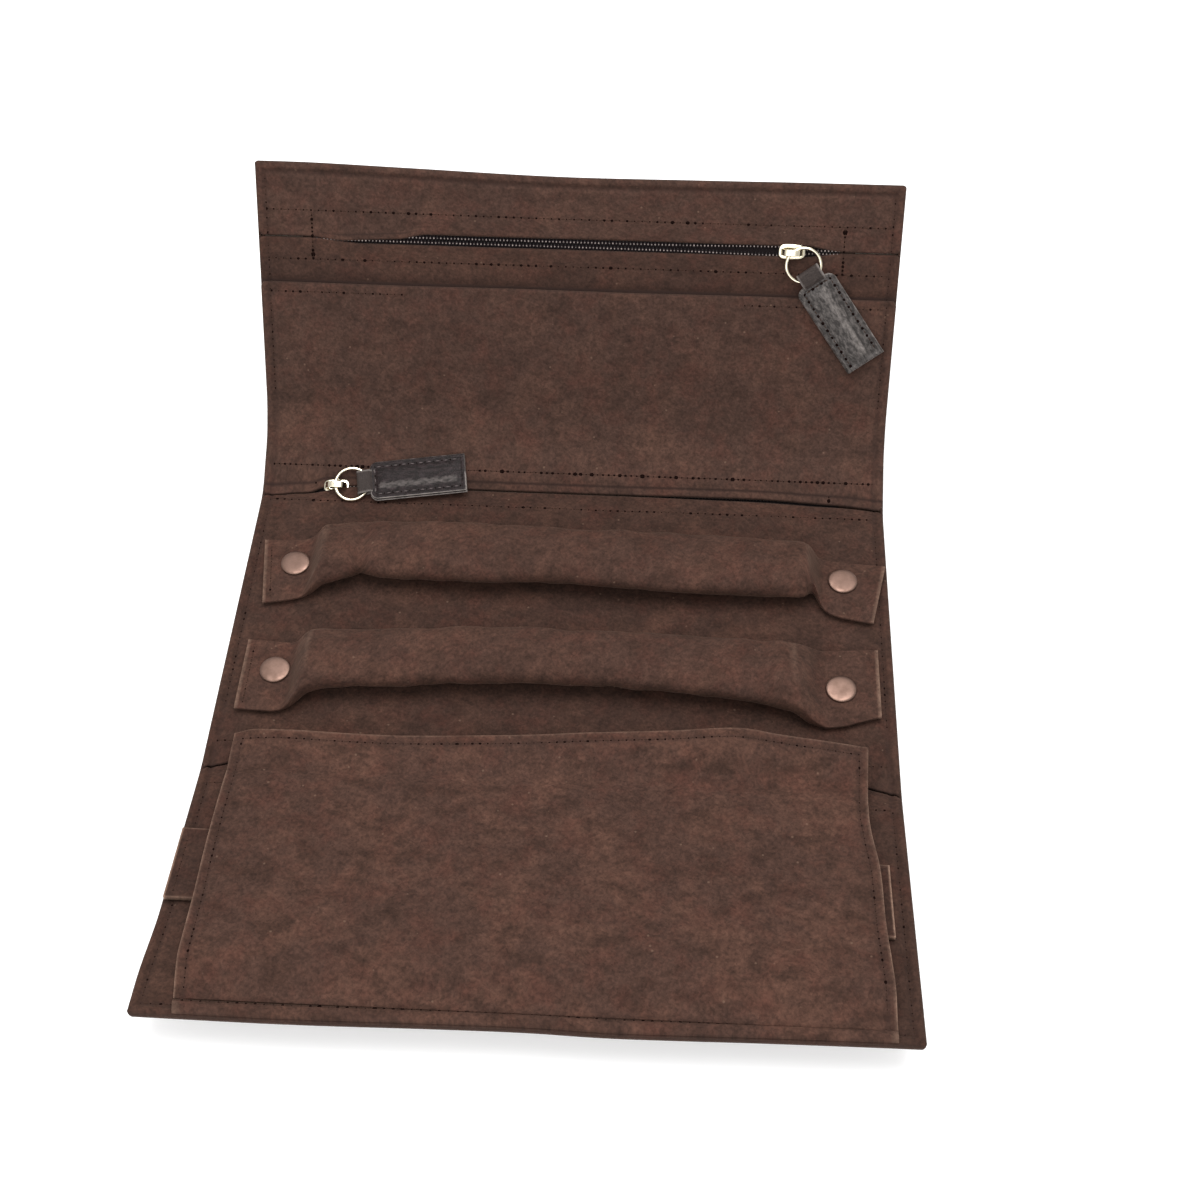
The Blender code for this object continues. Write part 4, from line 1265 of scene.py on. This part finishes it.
# The two long edges of each bar as (x, y) places, the run over which the padding starts
# and ends, and pinches as (x, turn, depth, length, turn share)
barShapes = {
    1: {
        "low": [
            (-0.124, -0.0040), (-0.116, -0.0031), (-0.110, -0.0018), (-0.105, 0.0), (-0.0996, 0.0023),
            (-0.095, 0.0049), (-0.0865, 0.0075), (-0.0831, 0.0094), (-0.079, 0.0079), (-0.0728, 0.0067),
            (-0.030, 0.0064), (0.0, 0.0068), (0.030, 0.0054), (0.060, 0.0048), (0.092, 0.0053),
            (0.0975, 0.0060), (0.1012, 0.0100), (0.1040, 0.0052), (0.1068, 0.0018), (0.111, -0.0002),
            (0.117, -0.0015), (0.126, -0.0027),
        ],
        "high": [
            (-0.124, 0.0284), (-0.110, 0.0290), (-0.1047, 0.0310), (-0.0866, 0.0335), (-0.049, 0.0345),
            (0.0, 0.0334), (0.045, 0.0330), (0.086, 0.0322), (0.097, 0.0318), (0.104, 0.0290),
            (0.112, 0.0276), (0.130, 0.0262),
        ],
        "start": (-0.1065, -0.0975),
        "stop": (0.0975, 0.1062),
        "ends": (-0.1237, 0.1284),
        "skews": (-0.0022, 0.0031),
        "pinches": [
            (-0.0831, -0.75, 0.0026, 0.005, 1.0), (-0.060, -0.5, 0.0007, 0.010, 0.8),
            (0.1012, -0.45, 0.0048, 0.0038, 1.5), (0.0930, 0.1, 0.0006, 0.008, 1.0),
        ],
    },
    2: {
        "low": [
            (-0.124, -0.0552), (-0.115, -0.0557), (-0.1074, -0.0556), (-0.1013, -0.0532),
            (-0.0967, -0.0502), (-0.0919, -0.0481), (-0.0855, -0.0469), (-0.0757, -0.0464),
            (-0.060, -0.0455), (-0.041, -0.0438), (-0.010, -0.0425), (0.025, -0.0427),
            (0.052, -0.0441), (0.079, -0.0468), (0.092, -0.0496), (0.098, -0.0520),
            (0.104, -0.0534), (0.112, -0.0524), (0.118, -0.0502), (0.127, -0.0474),
        ],
        "high": [
            (-0.124, -0.0225), (-0.102, -0.0235), (-0.0906, -0.0218), (-0.063, -0.0200),
            (-0.0235, -0.0180), (0.016, -0.0183), (0.056, -0.0184), (0.095, -0.0190),
            (0.106, -0.0176), (0.127, -0.0160),
        ],
        "start": (-0.1062, -0.0955),
        "stop": (0.0905, 0.1060),
        "ends": (-0.1238, 0.1262),
        "skews": (0.0, 0.0),
        "pinches": [
            (-0.0940, -0.6, 0.0014, 0.008, 0.9), (0.0960, -0.5, 0.0012, 0.010, 1.0),
            (0.0800, -0.2, 0.0006, 0.009, 0.9),
        ],
    },
}


def barPoint(number, x, turn):
    shape = barShapes[number]
    start, stop = shape["start"], shape["stop"]
    fill = ease((x - start[0]) / (start[1] - start[0])) * ease((stop[1] - x) / (stop[1] - stop[0]))
    along = min(max((x - start[0]) / (stop[1] - start[0]), 0), 1)
    middle = math.sin(math.pi * along)
    height = bars["tabThickness"] + fill * (bars["padHeight"] - bars["tabThickness"])
    low, high = alongCurve(shape["low"], x), alongCurve(shape["high"], x)
    power = bars["tabSquareness"] + fill * (bars["padRoundness"] - bars["tabSquareness"])
    c, n = math.cos(turn), math.sin(turn)
    outY = math.copysign(abs(c) ** (2 / power), c)
    outZ = math.copysign(abs(n) ** (2 / power), n)
    puff = sum(
        rise * wave(x, turn * girth, size, number + seed) for rise, girth, size, seed in bars["swells"]
    )
    dent, girth, size, seed = bars["dents"]
    dentTurn, dentReach = bars["dentsAt"]
    puff += dent * wave(x, turn * girth, size, number + seed) * bump((turn - dentTurn) / dentReach)
    for end, reach in zip((start[1], stop[0]), bars["gatherReach"]):
        gather = noise.noise(Vector((turn * 2.6, number * 3.1, end * 90)))
        puff += bars["gather"] * bump((x - end) / reach) * gather
    puff *= fill
    for px, turnAt, depth, length, turnShare in shape["pinches"]:
        puff -= depth * bump((x - px) / length) * bump((turn - turnAt) / turnShare)
    y = (low + high) / 2 + (high - low) / 2 * outY + puff * outY
    bottom = roll["thickness"] + bars["lift"] + middle * bars["arch"]
    z = bottom + height / 2 + (height / 2 + puff) * outZ
    (leftFrom, rightFrom), (leftRun, rightRun) = bars["skewFrom"], bars["skewRun"]
    atLeft, atRight = ease((leftFrom - x) / leftRun), ease((x - rightFrom) / rightRun)
    skew = shape["skews"][0] * atLeft + shape["skews"][1] * atRight
    return Vector((x + skew * outY, y, z))


def tubeGrid(stations, around, placeAt):
    # A grid rolled into a tube along X, welded and closed at its ends, with its cloth
    # measured round each station
    turns = [2 * math.pi * k / around - math.pi / 2 for k in range(around + 1)]
    girth = {}
    for x in stations:
        run, before = 0.0, None
        for turn in turns:
            point = placeAt(x, turn)[0]
            run += (point - before).length if before else 0.0
            girth[x, turn] = run
            before = point
    bm = clothGrid(stations, turns, placeAt, lambda x, turn: (x, girth[x, turn]))
    bmesh.ops.remove_doubles(bm, verts=bm.verts, dist=0.00002)
    bmesh.ops.holes_fill(bm, edges=bm.edges, sides=around)
    bmesh.ops.recalc_face_normals(bm, faces=bm.faces)
    return bm


def addBar(number, hingeY):
    shape = barShapes[number]
    leftEnd, rightEnd = shape["ends"]
    pinches = [pinch[0] for pinch in shape["pinches"]]
    stations = places(leftEnd, rightEnd, bars["step"], pinches, 0.005, 0.0007)

    def placeAt(x, turn):
        toEnd = min(x - leftEnd, rightEnd - x)
        tone = (0.55 + 0.45 * wave(x, turn * 0.01, 0.004, 9)) * bump(toEnd / bars["frayWidth"])
        # a painted highlight: the nap is painted paler along the ridge where the padding starts, on its upper
        # side
        before, width = bars["ridge"]
        ridge = bump((x - shape["start"][1] + before) / width)
        ridge += bump((x - shape["stop"][0] - before) / width)
        tone += 0.22 * ridge * (0.6 + 0.6 * wave(x, turn * 0.01, 0.005, 4)) * bump((turn - 0.9) / 1.5)
        return barPoint(number, x, turn), tone

    middle = hingeY, roll["thickness"] + bars["hingeHeight"]
    move = (
        "middle_panel", f"bar_{number}",
        Vector((bars["hingeFrom"], *middle)), Vector((bars["hingeTo"], *middle)),
    )
    bar = addPiece(
        f"paddedBar{number}", tubeGrid(stations, bars["around"], placeAt), [barSuede], move, 0.0,
        [f"bar_{number}", f"bar_{number}_left_tab"],
    )

    def tabTop(x, v):
        low, high = alongCurve(shape["low"], x), alongCurve(shape["high"], x)
        skew = (shape["skews"][0] if x < 0 else shape["skews"][1]) * (v * 2 - 1)
        top = roll["thickness"] + bars["lift"] + bars["tabThickness"]
        return Vector((x + skew, low + (high - low) * v, top)), Vector((0, 0, 1))

    # only the left end is sewn down; the right one is held by its snap
    row = [(leftEnd + bars["stitchIn"], v) for v in (0.09, 0.91)]
    sewing(f"bar{number}Stitches", [row], tabTop, "middle_panel", bars["hole"])


addBar(1, 0.0145)
addBar(2, -0.035)
print("bars done")


# Keeper band, flat, under the flap

band = {
    "s": -0.12875,
    "width": 0.0305,
    "left": -0.1315,
    "right": 0.1248,
    "slant": 0.0035,
    "slantRun": 0.256,
    "lift": bars["lift"] + 0.0011,
    "wall": 0.0018,
    "waves": (0.0004, 0.03),
    "frayWidths": (0.0009, 0.0006),  # at its ends and along its sides
    "stitchIn": (0.003, 0.004),
    "stitchReach": 0.0125,
}


def bandPoint(x, v):
    share = (x - band["left"]) / band["slantRun"]
    height, size = band["waves"]
    lift = band["lift"] + height * wave(x, v, size, 21)
    return onRoll(x, band["s"] + v + band["slant"] * (0.5 - share), lift)


def bandPlace(x, v):
    toEnd = min(x - band["left"], band["right"] - x)
    toSide = band["width"] / 2 - abs(v)
    atEnd, atSide = band["frayWidths"]
    return bandPoint(x, v), 0.9 * bump(toEnd / atEnd) + 0.35 * bump(toSide / atSide)


hinge = onRoll(0, band["s"], 0.003)
bandMove = (
    "lower_panel", "band",
    Vector((bars["hingeFrom"], hinge.y, hinge.z)), Vector((bars["hingeTo"], hinge.y, hinge.z)),
)
halfBand = band["width"] / 2
bm = clothGrid(
    places(band["left"], band["right"], 0.003, [band["left"], band["right"]]),
    places(-halfBand, halfBand, 0.0025, [-halfBand, halfBand], 0.001, 0.0004),
    bandPlace,
)
addPiece("keeperBand", bm, [shadedBandSuede], bandMove, band["wall"], ["band", "band_left_tab"])


def bandTop(x, v):
    return bandPoint(x, v), rollUp(band["s"])


for side, x, body in (
    ("Left", band["left"] + band["stitchIn"][0], "lower_panel"),
    ("Right", band["right"] - band["stitchIn"][1], "band"),
):
    row = [(x, -band["stitchReach"]), (x, band["stitchReach"])]
    sewing(f"band{side}Stitches", [row], bandTop, body, bars["hole"])
print("band done")


# Snap caps: domes with a flat underside

cap = {"radius": 0.00605, "height": 0.0012, "roundness": 4.2, "overBar": 0.00022, "overBand": 0.0006}


def addCap(name, node, body, place, turn=0.0):
    bm = bmesh.new()
    bmesh.ops.create_uvsphere(bm, u_segments=48, v_segments=24, radius=1)
    bmesh.ops.bisect_plane(
        bm, geom=bm.verts[:] + bm.edges[:] + bm.faces[:],
        plane_co=(0, 0, -0.05), plane_no=(0, 0, -1), clear_outer=True,
    )
    for vert in bm.verts:
        across = min(math.hypot(vert.co.x, vert.co.y), 1.0)
        lifted = (1 - across ** cap["roundness"]) ** (1 / cap["roundness"]) if vert.co.z > 0 else vert.co.z
        vert.co = (vert.co.x * cap["radius"], vert.co.y * cap["radius"], lifted * cap["height"])
    rim = [e for e in bm.edges if e.is_boundary]
    bmesh.ops.holes_fill(bm, edges=rim, sides=64)
    bmesh.ops.recalc_face_normals(bm, faces=bm.faces)
    bmesh.ops.transform(bm, matrix=Matrix.Translation(place) @ Matrix.Rotation(turn, 4, "X"), verts=bm.verts)
    addPiece(name, bm, [agedCopper], body, 0.0, [node])


tabTopHeight = bars["lift"] + bars["tabThickness"]
capBase = roll["thickness"] + tabTopHeight + cap["overBar"]
for number, left, right in (
    (1, (-0.1110, 0.0160), (0.1135, 0.0172)),
    (2, (-0.1106, -0.0372), (0.1109, -0.0360)),
):
    addCap(f"bar{number}LeftCap", f"bar_{number}_left_cap", "middle_panel", (*left, capBase))
    addCap(f"bar{number}RightCap", f"bar_{number}_right_cap", f"bar_{number}", (*right, capBase))
for side, x, body in (("left", -0.1125, "lower_panel"), ("right", 0.1125, "band")):
    place = onRoll(x, band["s"], tabTopHeight + cap["overBand"])
    addCap(f"band{side.title()}Cap", f"band_{side}_cap", body, place, roll["lowerTilt"])
print("caps done")


# Sliders, rings and leather pulls

slider = {
    "frame": (0.0042, 0.00225),  # half length and half width of the frame round its window
    "rim": (0.00125, 0.00115),
    "rimHeight": 0.00047,
    "high": 0.0006,
    "taper": 0.07,
    "plate": (0.0106, 0.0062, 0.0005),
    "plateHigh": -0.0022,
    "post": (0.0016, 0.0007, 0.0028),
    "postPlace": (0.0038, 0, -0.0009),
    "crownTop": 0.0034,
    "crownWidth": 0.0026,
    "crownBend": 0.0014,
    "crownWall": 0.0006,
    "crownFoot": [(-0.0043, 0.0008), (-0.0037, 0.0016)],
    "crownBendAt": -0.0018,
    "crownMiddle": (-0.0006, 0.0001),
    "taperLength": 0.0055,
    "squareness": (0.7, 0.6),  # of the rim's section, and of the frame
}
pull = {
    "ringRadius": 0.00705,
    "ringWire": 0.0007,
    "ringHeight": 0.00225,
    "holdRadius": 0.00601,
    "tabStart": 0.00200,
    "tabLength": 0.0409,
    "tabWidth": 0.017,
    "tabThickness": 0.0026,
    "tabCorner": 0.0034,
    "plyGrow": 0.0001,  # how far the back ply stands past the front one
    "rim": 0.6,
    "litRim": 1.5,
    "loopWidth": 0.010,
    "loopThickness": 0.0007,
    "loopHalf": 0.00155,
    "loopNeck": 0.0012,
    "twistFrom": -0.0034,
    "twistRun": 0.006,
    "stitchPitch": 0.0036,
    "stitchIn": 0.0023,
    "stitchSpread": 0.5,
    "stitchEnd": 0.0025,
    "crown": (0.00035, 0.004),  # how high the ply is stuffed, and how far from its stitches
    "groove": (0.00025, 0.0012),
    "grooveShade": (0.15, 0.0009),
    "swells": (0.0001, 0.006),
    "edgeDip": (0.0003, 0.0005),
    # width of the painted highlight streak
    "streakWidth": 0.0034,
    "strapEnd": [(0.0042, 0.00045), (0.0033, 0.00048), (0.0026, 0.0008)],
    "strapBend": 0.0019,
}


def ribbon(path, width, onFrame, edgeTone=0.0):
    # A strap of a width that follows a path in its frame's XZ plane
    count = len(path) - 1

    def placeAt(v, t):
        k = round(t * count)
        return onFrame((path[k][0], v, path[k][1])), edgeTone * bump((width / 2 - abs(v)) / 0.0005)

    across = places(-width / 2, width / 2, width / 8)
    return clothGrid(across, [k / count for k in range(count + 1)], placeAt)


def arcPath(centre, radius, start, end, steps):
    # Points round a centre, angles in degrees
    turns = [math.radians(start + (end - start) * k / steps) for k in range(steps + 1)]
    return [(centre[0] + radius * math.cos(turn), centre[1] + radius * math.sin(turn)) for turn in turns]


def rounded(value, power):
    # Squares a sine or cosine up, so that a circle becomes a rounded box
    return math.copysign(abs(value) ** power, value)


def addSlider(number, base, nose, sunk):
    # The top plate is a rounded frame with a window under the crown
    def frameAt(section, turn):
        small, large = slider["squareness"]
        out, up = rounded(math.cos(section), small), rounded(math.sin(section), small)
        x = (slider["frame"][0] + slider["rim"][0] * out) * rounded(math.cos(turn), large)
        y = (slider["frame"][1] + slider["rim"][1] * out) * rounded(math.sin(turn), large)
        y *= 1 - slider["taper"] * (1 - nose * x / slider["taperLength"])
        return base @ Vector((x, y, slider["high"] - sunk + slider["rimHeight"] * up)), 0.0

    def box(place, size):
        matrix = Matrix.Translation(place) @ Matrix.Diagonal((*size, 1))
        return bmesh.ops.create_cube(bm, size=1, matrix=matrix)["verts"]

    body = f"slider_{number}"
    section, around = [[2 * math.pi * k / count for k in range(count + 1)] for count in (16, 48)]
    bm = clothGrid(section, around, frameAt)
    bmesh.ops.remove_doubles(bm, verts=bm.verts, dist=0.000002)
    made = box((0, 0, slider["plateHigh"]), slider["plate"])
    x, y, z = slider["postPlace"]
    made += box((x * nose, y, z), slider["post"])
    bmesh.ops.transform(bm, matrix=base, verts=made)
    bmesh.ops.recalc_face_normals(bm, faces=bm.faces)
    addPiece(f"slider{number}Plates", bm, [paleNickel], body, 0.0, [body])
    top, radius = slider["crownTop"], slider["crownBend"]
    middle, rise = slider["crownMiddle"]
    bend = arcPath((slider["crownBendAt"], top - radius), radius, 165, 95, 6)
    half = slider["crownFoot"] + bend + [(middle, top + rise)]
    path = half + [(-x, z) for x, z in reversed(half)]
    bm = ribbon(path, slider["crownWidth"], lambda point: base @ Vector(point))
    addPiece(f"slider{number}Crown", bm, [paleNickel], body, slider["crownWall"], [body], 0)


def addRing(number, ringFrame):
    centre = Matrix.Translation((pull["ringRadius"], 0, 0))
    bm = bmesh.new()
    wire = bmesh.ops.create_circle(
        bm, cap_ends=False, segments=14, radius=pull["ringWire"],
        matrix=centre @ Matrix.Rotation(math.pi / 2, 4, "X"),
    )["verts"]
    bmesh.ops.spin(
        bm, geom=wire + list({e for v in wire for e in v.link_edges}), cent=(0, 0, 0), axis=(0, 0, 1),
        angle=2 * math.pi, steps=72, use_merge=True,
    )
    bmesh.ops.recalc_face_normals(bm, faces=bm.faces)
    bmesh.ops.transform(bm, matrix=ringFrame @ centre, verts=bm.verts)
    addPiece(f"ring{number}", bm, [paleNickel], f"ring_{number}", 0.0, [f"ring_{number}"])


def twisted(tabFrame, twist):
    # Places on a pull whose near edge is turned up past its strap, while its far edge stays down
    def onTab(point):
        x, y, z = point
        rise = ease((x - pull["twistFrom"]) / pull["twistRun"])
        turn = twist * rise
        c, n = math.cos(turn), math.sin(turn)
        lift = pull["tabWidth"] * 0.35 * n * rise
        return tabFrame @ Vector((x, y * c + z * n, z * c - y * n + lift))
    return onTab


def tabPly(onTab, high, shift, grow, highlight, streak):
    # One ply of a tab, with pale cut edges, painted shade in its stitched groove, and a painted
    # highlight along a streak that stands in for its gloss
    half = pull["tabWidth"] / 2 + grow
    start, end = pull["tabStart"] - grow, pull["tabStart"] + pull["tabLength"] + grow
    radius = pull["tabCorner"]

    def placeAt(x, y):
        toSide, toNear = half - abs(y), x - start
        edge = min(toSide, toNear, end - x)
        if toSide < radius and toNear < radius:
            px, py = radius - toNear, radius - toSide
            share = max(px, py) / max(math.hypot(px, py), 1e-9)
            x, y = start + radius - px * share, math.copysign(half - radius + py * share, y)
        inner = edge - pull["stitchIn"]
        (stuffed, run), (swell, size) = pull["crown"], pull["swells"]
        crown = stuffed * ease(inner / run) + dipAt(inner, pull["groove"])
        crown += swell * wave(x, y, size, 3) - foldDip(edge, *pull["edgeDip"])
        if x > end - pull["stitchIn"]:
            crown = max(crown, -pull["edgeDip"][0])
        # pale cut edges, painted brighter as painted light along the near side of the second tab
        rim = pull["litRim"] if y < 0 and streak < 0 else pull["rim"]
        tone = rim * bump(edge / pull["edgeDip"][1]) + dipAt(inner, pull["grooveShade"])
        # the painted highlight along the streak
        tone += highlight * bump((y - streak) / pull["streakWidth"]) * ease(inner / 0.002)
        return onTab((x, y + shift, high + crown)), tone

    return clothGrid(
        places(start, end, 0.0009, [start, start + radius / 2, end], 0.0016, 0.0003),
        places(-half, half, 0.0006, [-half, half], 0.0016, 0.0003),
        placeAt,
    )


def addPull(number, s, place):
    y, z, slope = straightPlace(s + place["shift"])
    base = Matrix.Translation((place["x"], y, z)) @ Matrix.Rotation(slope, 4, "X")
    tabTurn = math.radians(place["tabTurn"])
    ringFrame = base @ Matrix.Translation((0, 0, pull["ringHeight"]))
    ringFrame @= Matrix.Rotation(math.radians(place["ringTurn"]), 4, "Z")
    ringFrame @= Matrix.Rotation(math.radians(-place["ringTip"]), 4, "X")
    holdX, holdY = pull["holdRadius"] * math.cos(tabTurn), pull["holdRadius"] * math.sin(tabTurn)
    tabFrame = ringFrame @ Matrix.Translation((pull["ringRadius"] + holdX, holdY, 0))
    onTab = twisted(tabFrame @ Matrix.Rotation(tabTurn, 4, "Z"), math.radians(place["twist"]))
    addSlider(number, base, place["nose"], place["sunk"])
    addRing(number, ringFrame)

    # the strap runs out of the tab, over the ring's wire and back
    body, high, bendAt = f"pull_{number}", pull["loopHalf"], pull["strapBend"]
    half = pull["strapEnd"] + [(bendAt, high - 0.00005), (pull["loopNeck"], high), (0.0, high)]
    path = half + arcPath((-bendAt, 0), high, 90, 270, 14) + [(x, -z) for x, z in reversed(half)]
    addPiece(
        f"pullLoop{number}", ribbon(path, pull["loopWidth"], onTab, 0.7), [loopLeather], body,
        pull["loopThickness"], [f"pull_loop_{number}"], 0,
    )
    thick, tab, leather = pull["tabThickness"] / 2, [f"pull_tab_{number}"], [place["leather"]]
    front = tabPly(onTab, thick - 0.00035, 0, 0, place["highlight"], place["streak"])
    addPiece(f"pullTab{number}Front", front, leather, body, thick - 0.0004, tab)
    back = tabPly(onTab, -0.00005, place["plyShift"], pull["plyGrow"], 0.0, place["streak"])
    addPiece(f"pullTab{number}Back", back, leather, body, thick - 0.0002, tab)

    def tabSurface(px, py):
        here = onTab((px, py, thick - 0.0005))
        return here, (onTab((px, py, thick)) - here).normalized()

    near = pull["tabStart"] + pull["stitchIn"]
    far = pull["tabStart"] + pull["tabLength"] - pull["stitchEnd"]
    side = pull["tabWidth"] / 2 - pull["stitchIn"]
    corners = [(far, -side), (near, -side), (near, side), (far, side)]
    sewing(
        f"pullTab{number}Stitches", [corners], tabSurface, body, place["hole"], pull["stitchPitch"],
        pull["stitchSpread"], place["thread"],
    )


# streak places the painted highlight across each tab
flatPull = {"shift": 0.0, "ringTip": 0, "twist": 0, "sunk": 0.0, "streak": 0.0012}
addPull(1, zips["first"], {
    **flatPull, "x": 0.088, "nose": -1, "ringTurn": -45, "tabTurn": -9, "leather": greyLeather,
    "plyShift": -0.0003, "highlight": 0.36, "hole": 0.00098, "thread": threadBrown,
})
# the second pull lies nearer than its zip, a little tipped, with its slider down between the lips
addPull(2, zips["second"], {
    "shift": -0.0022, "ringTip": 4, "twist": 5, "sunk": 0.0013, "streak": -0.0028,
    "x": -0.1008, "nose": 1, "ringTurn": 5, "tabTurn": 3, "leather": brownLeather,
    "plyShift": -0.0004, "highlight": 0.30, "hole": 0.0005, "thread": glintThread,
})
addPull(3, zips["third"], {
    **flatPull, "x": 0.051, "nose": -1, "ringTurn": 22, "tabTurn": -20, "leather": brownLeather,
    "plyShift": 0.0, "highlight": 0.12, "hole": 0.0005, "thread": glintThread,
})
print("pulls done")


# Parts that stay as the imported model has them: the middle board, pocket bags and studs

def finishNodes(names, material):
    for name in names:
        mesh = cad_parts[name].data
        mesh.materials.clear()
        mesh.materials.append(material)


finishNodes(["middle_board"], greyBoard)
finishNodes(["zip_1_bag", "zip_2_bag", "zip_3_bag"], pocketSatin)
studs = [f"{piece}_{side}_stud" for piece in ("bar_1", "bar_2", "band") for side in ("left", "right")]
finishNodes(studs, agedCopper)
print("hidden parts finished")


# The camera and the light

look = {
    "place": (0.03729, -0.40175, 0.5479),
    "pitchDown": math.radians(53.073),
    "yaw": math.radians(-3.132),
    "rollAngle": math.radians(-0.337),
    "focalPixels": 1667,
    "framePixels": 1200,
    "sensor": 36,
}
studio = {
    "lampPlace": (0.05, 0.12, 1.1),
    "lampSize": 0.9,
    "lampPower": 14.0,
    "fillPlace": (-0.2, -1.0, 0.75),
    "fillSize": 1.2,
    "fillPower": 9.0,
    "world": 0.67,
    "floorGrey": 0.82,
    "floorGlow": (0.28, 0.6),  # near the roll, and far from it
    "glowRun": (0.5, 1.5),
    "floorHigh": -0.0003,
}


def addObject(name, data):
    made = bpy.data.objects.new(name, data)
    bpy.context.scene.collection.objects.link(made)
    return made


camera = bpy.data.cameras.new("camera")
camera.sensor_width = look["sensor"]
camera.lens = look["focalPixels"] / look["framePixels"] * look["sensor"]
forward = Vector((
    math.sin(look["yaw"]) * math.cos(look["pitchDown"]),
    math.cos(look["yaw"]) * math.cos(look["pitchDown"]),
    -math.sin(look["pitchDown"]),
))
right = Vector((math.cos(look["yaw"]), -math.sin(look["yaw"]), 0))
up = right.cross(forward)
turnedRight = right * math.cos(look["rollAngle"]) + up * math.sin(look["rollAngle"])
turnedUp = -right * math.sin(look["rollAngle"]) + up * math.cos(look["rollAngle"])
axes = Matrix((turnedRight, turnedUp, -forward)).transposed().to_4x4()
cameraObject = addObject("camera", camera)
cameraObject.matrix_world = Matrix.Translation(look["place"]) @ axes
bpy.context.scene.camera = cameraObject


def lamp(name, place, size, power):
    # A square lamp that faces the roll
    light = bpy.data.lights.new(name, "AREA")
    light.size = size
    light.energy = power
    lampObject = addObject(name, light)
    lampObject.location = place
    lampObject.rotation_euler = (-Vector(place)).to_track_quat("-Z", "Y").to_euler()


lamp("windowLight", studio["lampPlace"], studio["lampSize"], studio["lampPower"])
lamp("fillLight", studio["fillPlace"], studio["fillSize"], studio["fillPower"])

# The world lights the roll softly, and the camera sees it white
world = bpy.data.worlds.new("studio")
bpy.context.scene.world = world
world.use_nodes = True
background = world.node_tree.nodes["Background"]
background.inputs["Color"].default_value = (1, 1, 1, 1)
ray = addNode(world, "ShaderNodeLightPath").outputs
seen = addNode(world, "ShaderNodeMath", {"operation": "MAXIMUM"}, {
    0: ray["Is Camera Ray"], 1: ray["Is Transmission Ray"],
})
strength = addNode(world, "ShaderNodeMapRange", {
    "To Min": studio["world"], "To Max": 1.0,
}, {"Value": seen.outputs[0]})
world.node_tree.links.new(strength.outputs[0], background.inputs["Strength"])

# White paper sweep: matt, lifted to white for the camera, more so where the lamps don't
# reach it, so that it keeps the shadow
grey = studio["floorGrey"]
paper, shader = newMaterial("whitePaper", {
    "Base Color": (grey, grey, grey, 1), "Roughness": 0.9, "Emission Color": (1, 1, 1, 1),
})
place = addNode(paper, "ShaderNodeTexCoord").outputs["Object"]
distance = addNode(paper, "ShaderNodeVectorMath", {"operation": "LENGTH"}, {0: place})
lifted = addNode(paper, "ShaderNodeMapRange", {
    "From Min": studio["glowRun"][0], "From Max": studio["glowRun"][1],
    "To Min": studio["floorGlow"][0], "To Max": studio["floorGlow"][1],
}, {"Value": distance.outputs["Value"]})
glow = addNode(paper, "ShaderNodeMath", {"operation": "MULTIPLY"}, {
    0: lifted.outputs[0], 1: addNode(paper, "ShaderNodeLightPath").outputs["Is Camera Ray"],
})
paper.node_tree.links.new(glow.outputs[0], shader.inputs["Emission Strength"])

bm = bmesh.new()
bmesh.ops.create_grid(bm, x_segments=1, y_segments=1, size=3)
mesh = bpy.data.meshes.new("floor")
bm.to_mesh(mesh)
bm.free()
mesh.materials.append(paper)
floor = addObject("floor", mesh)
floor.location.z = studio["floorHigh"]

bpy.context.scene.view_settings.view_transform = "Standard"
print("camera and light ready")
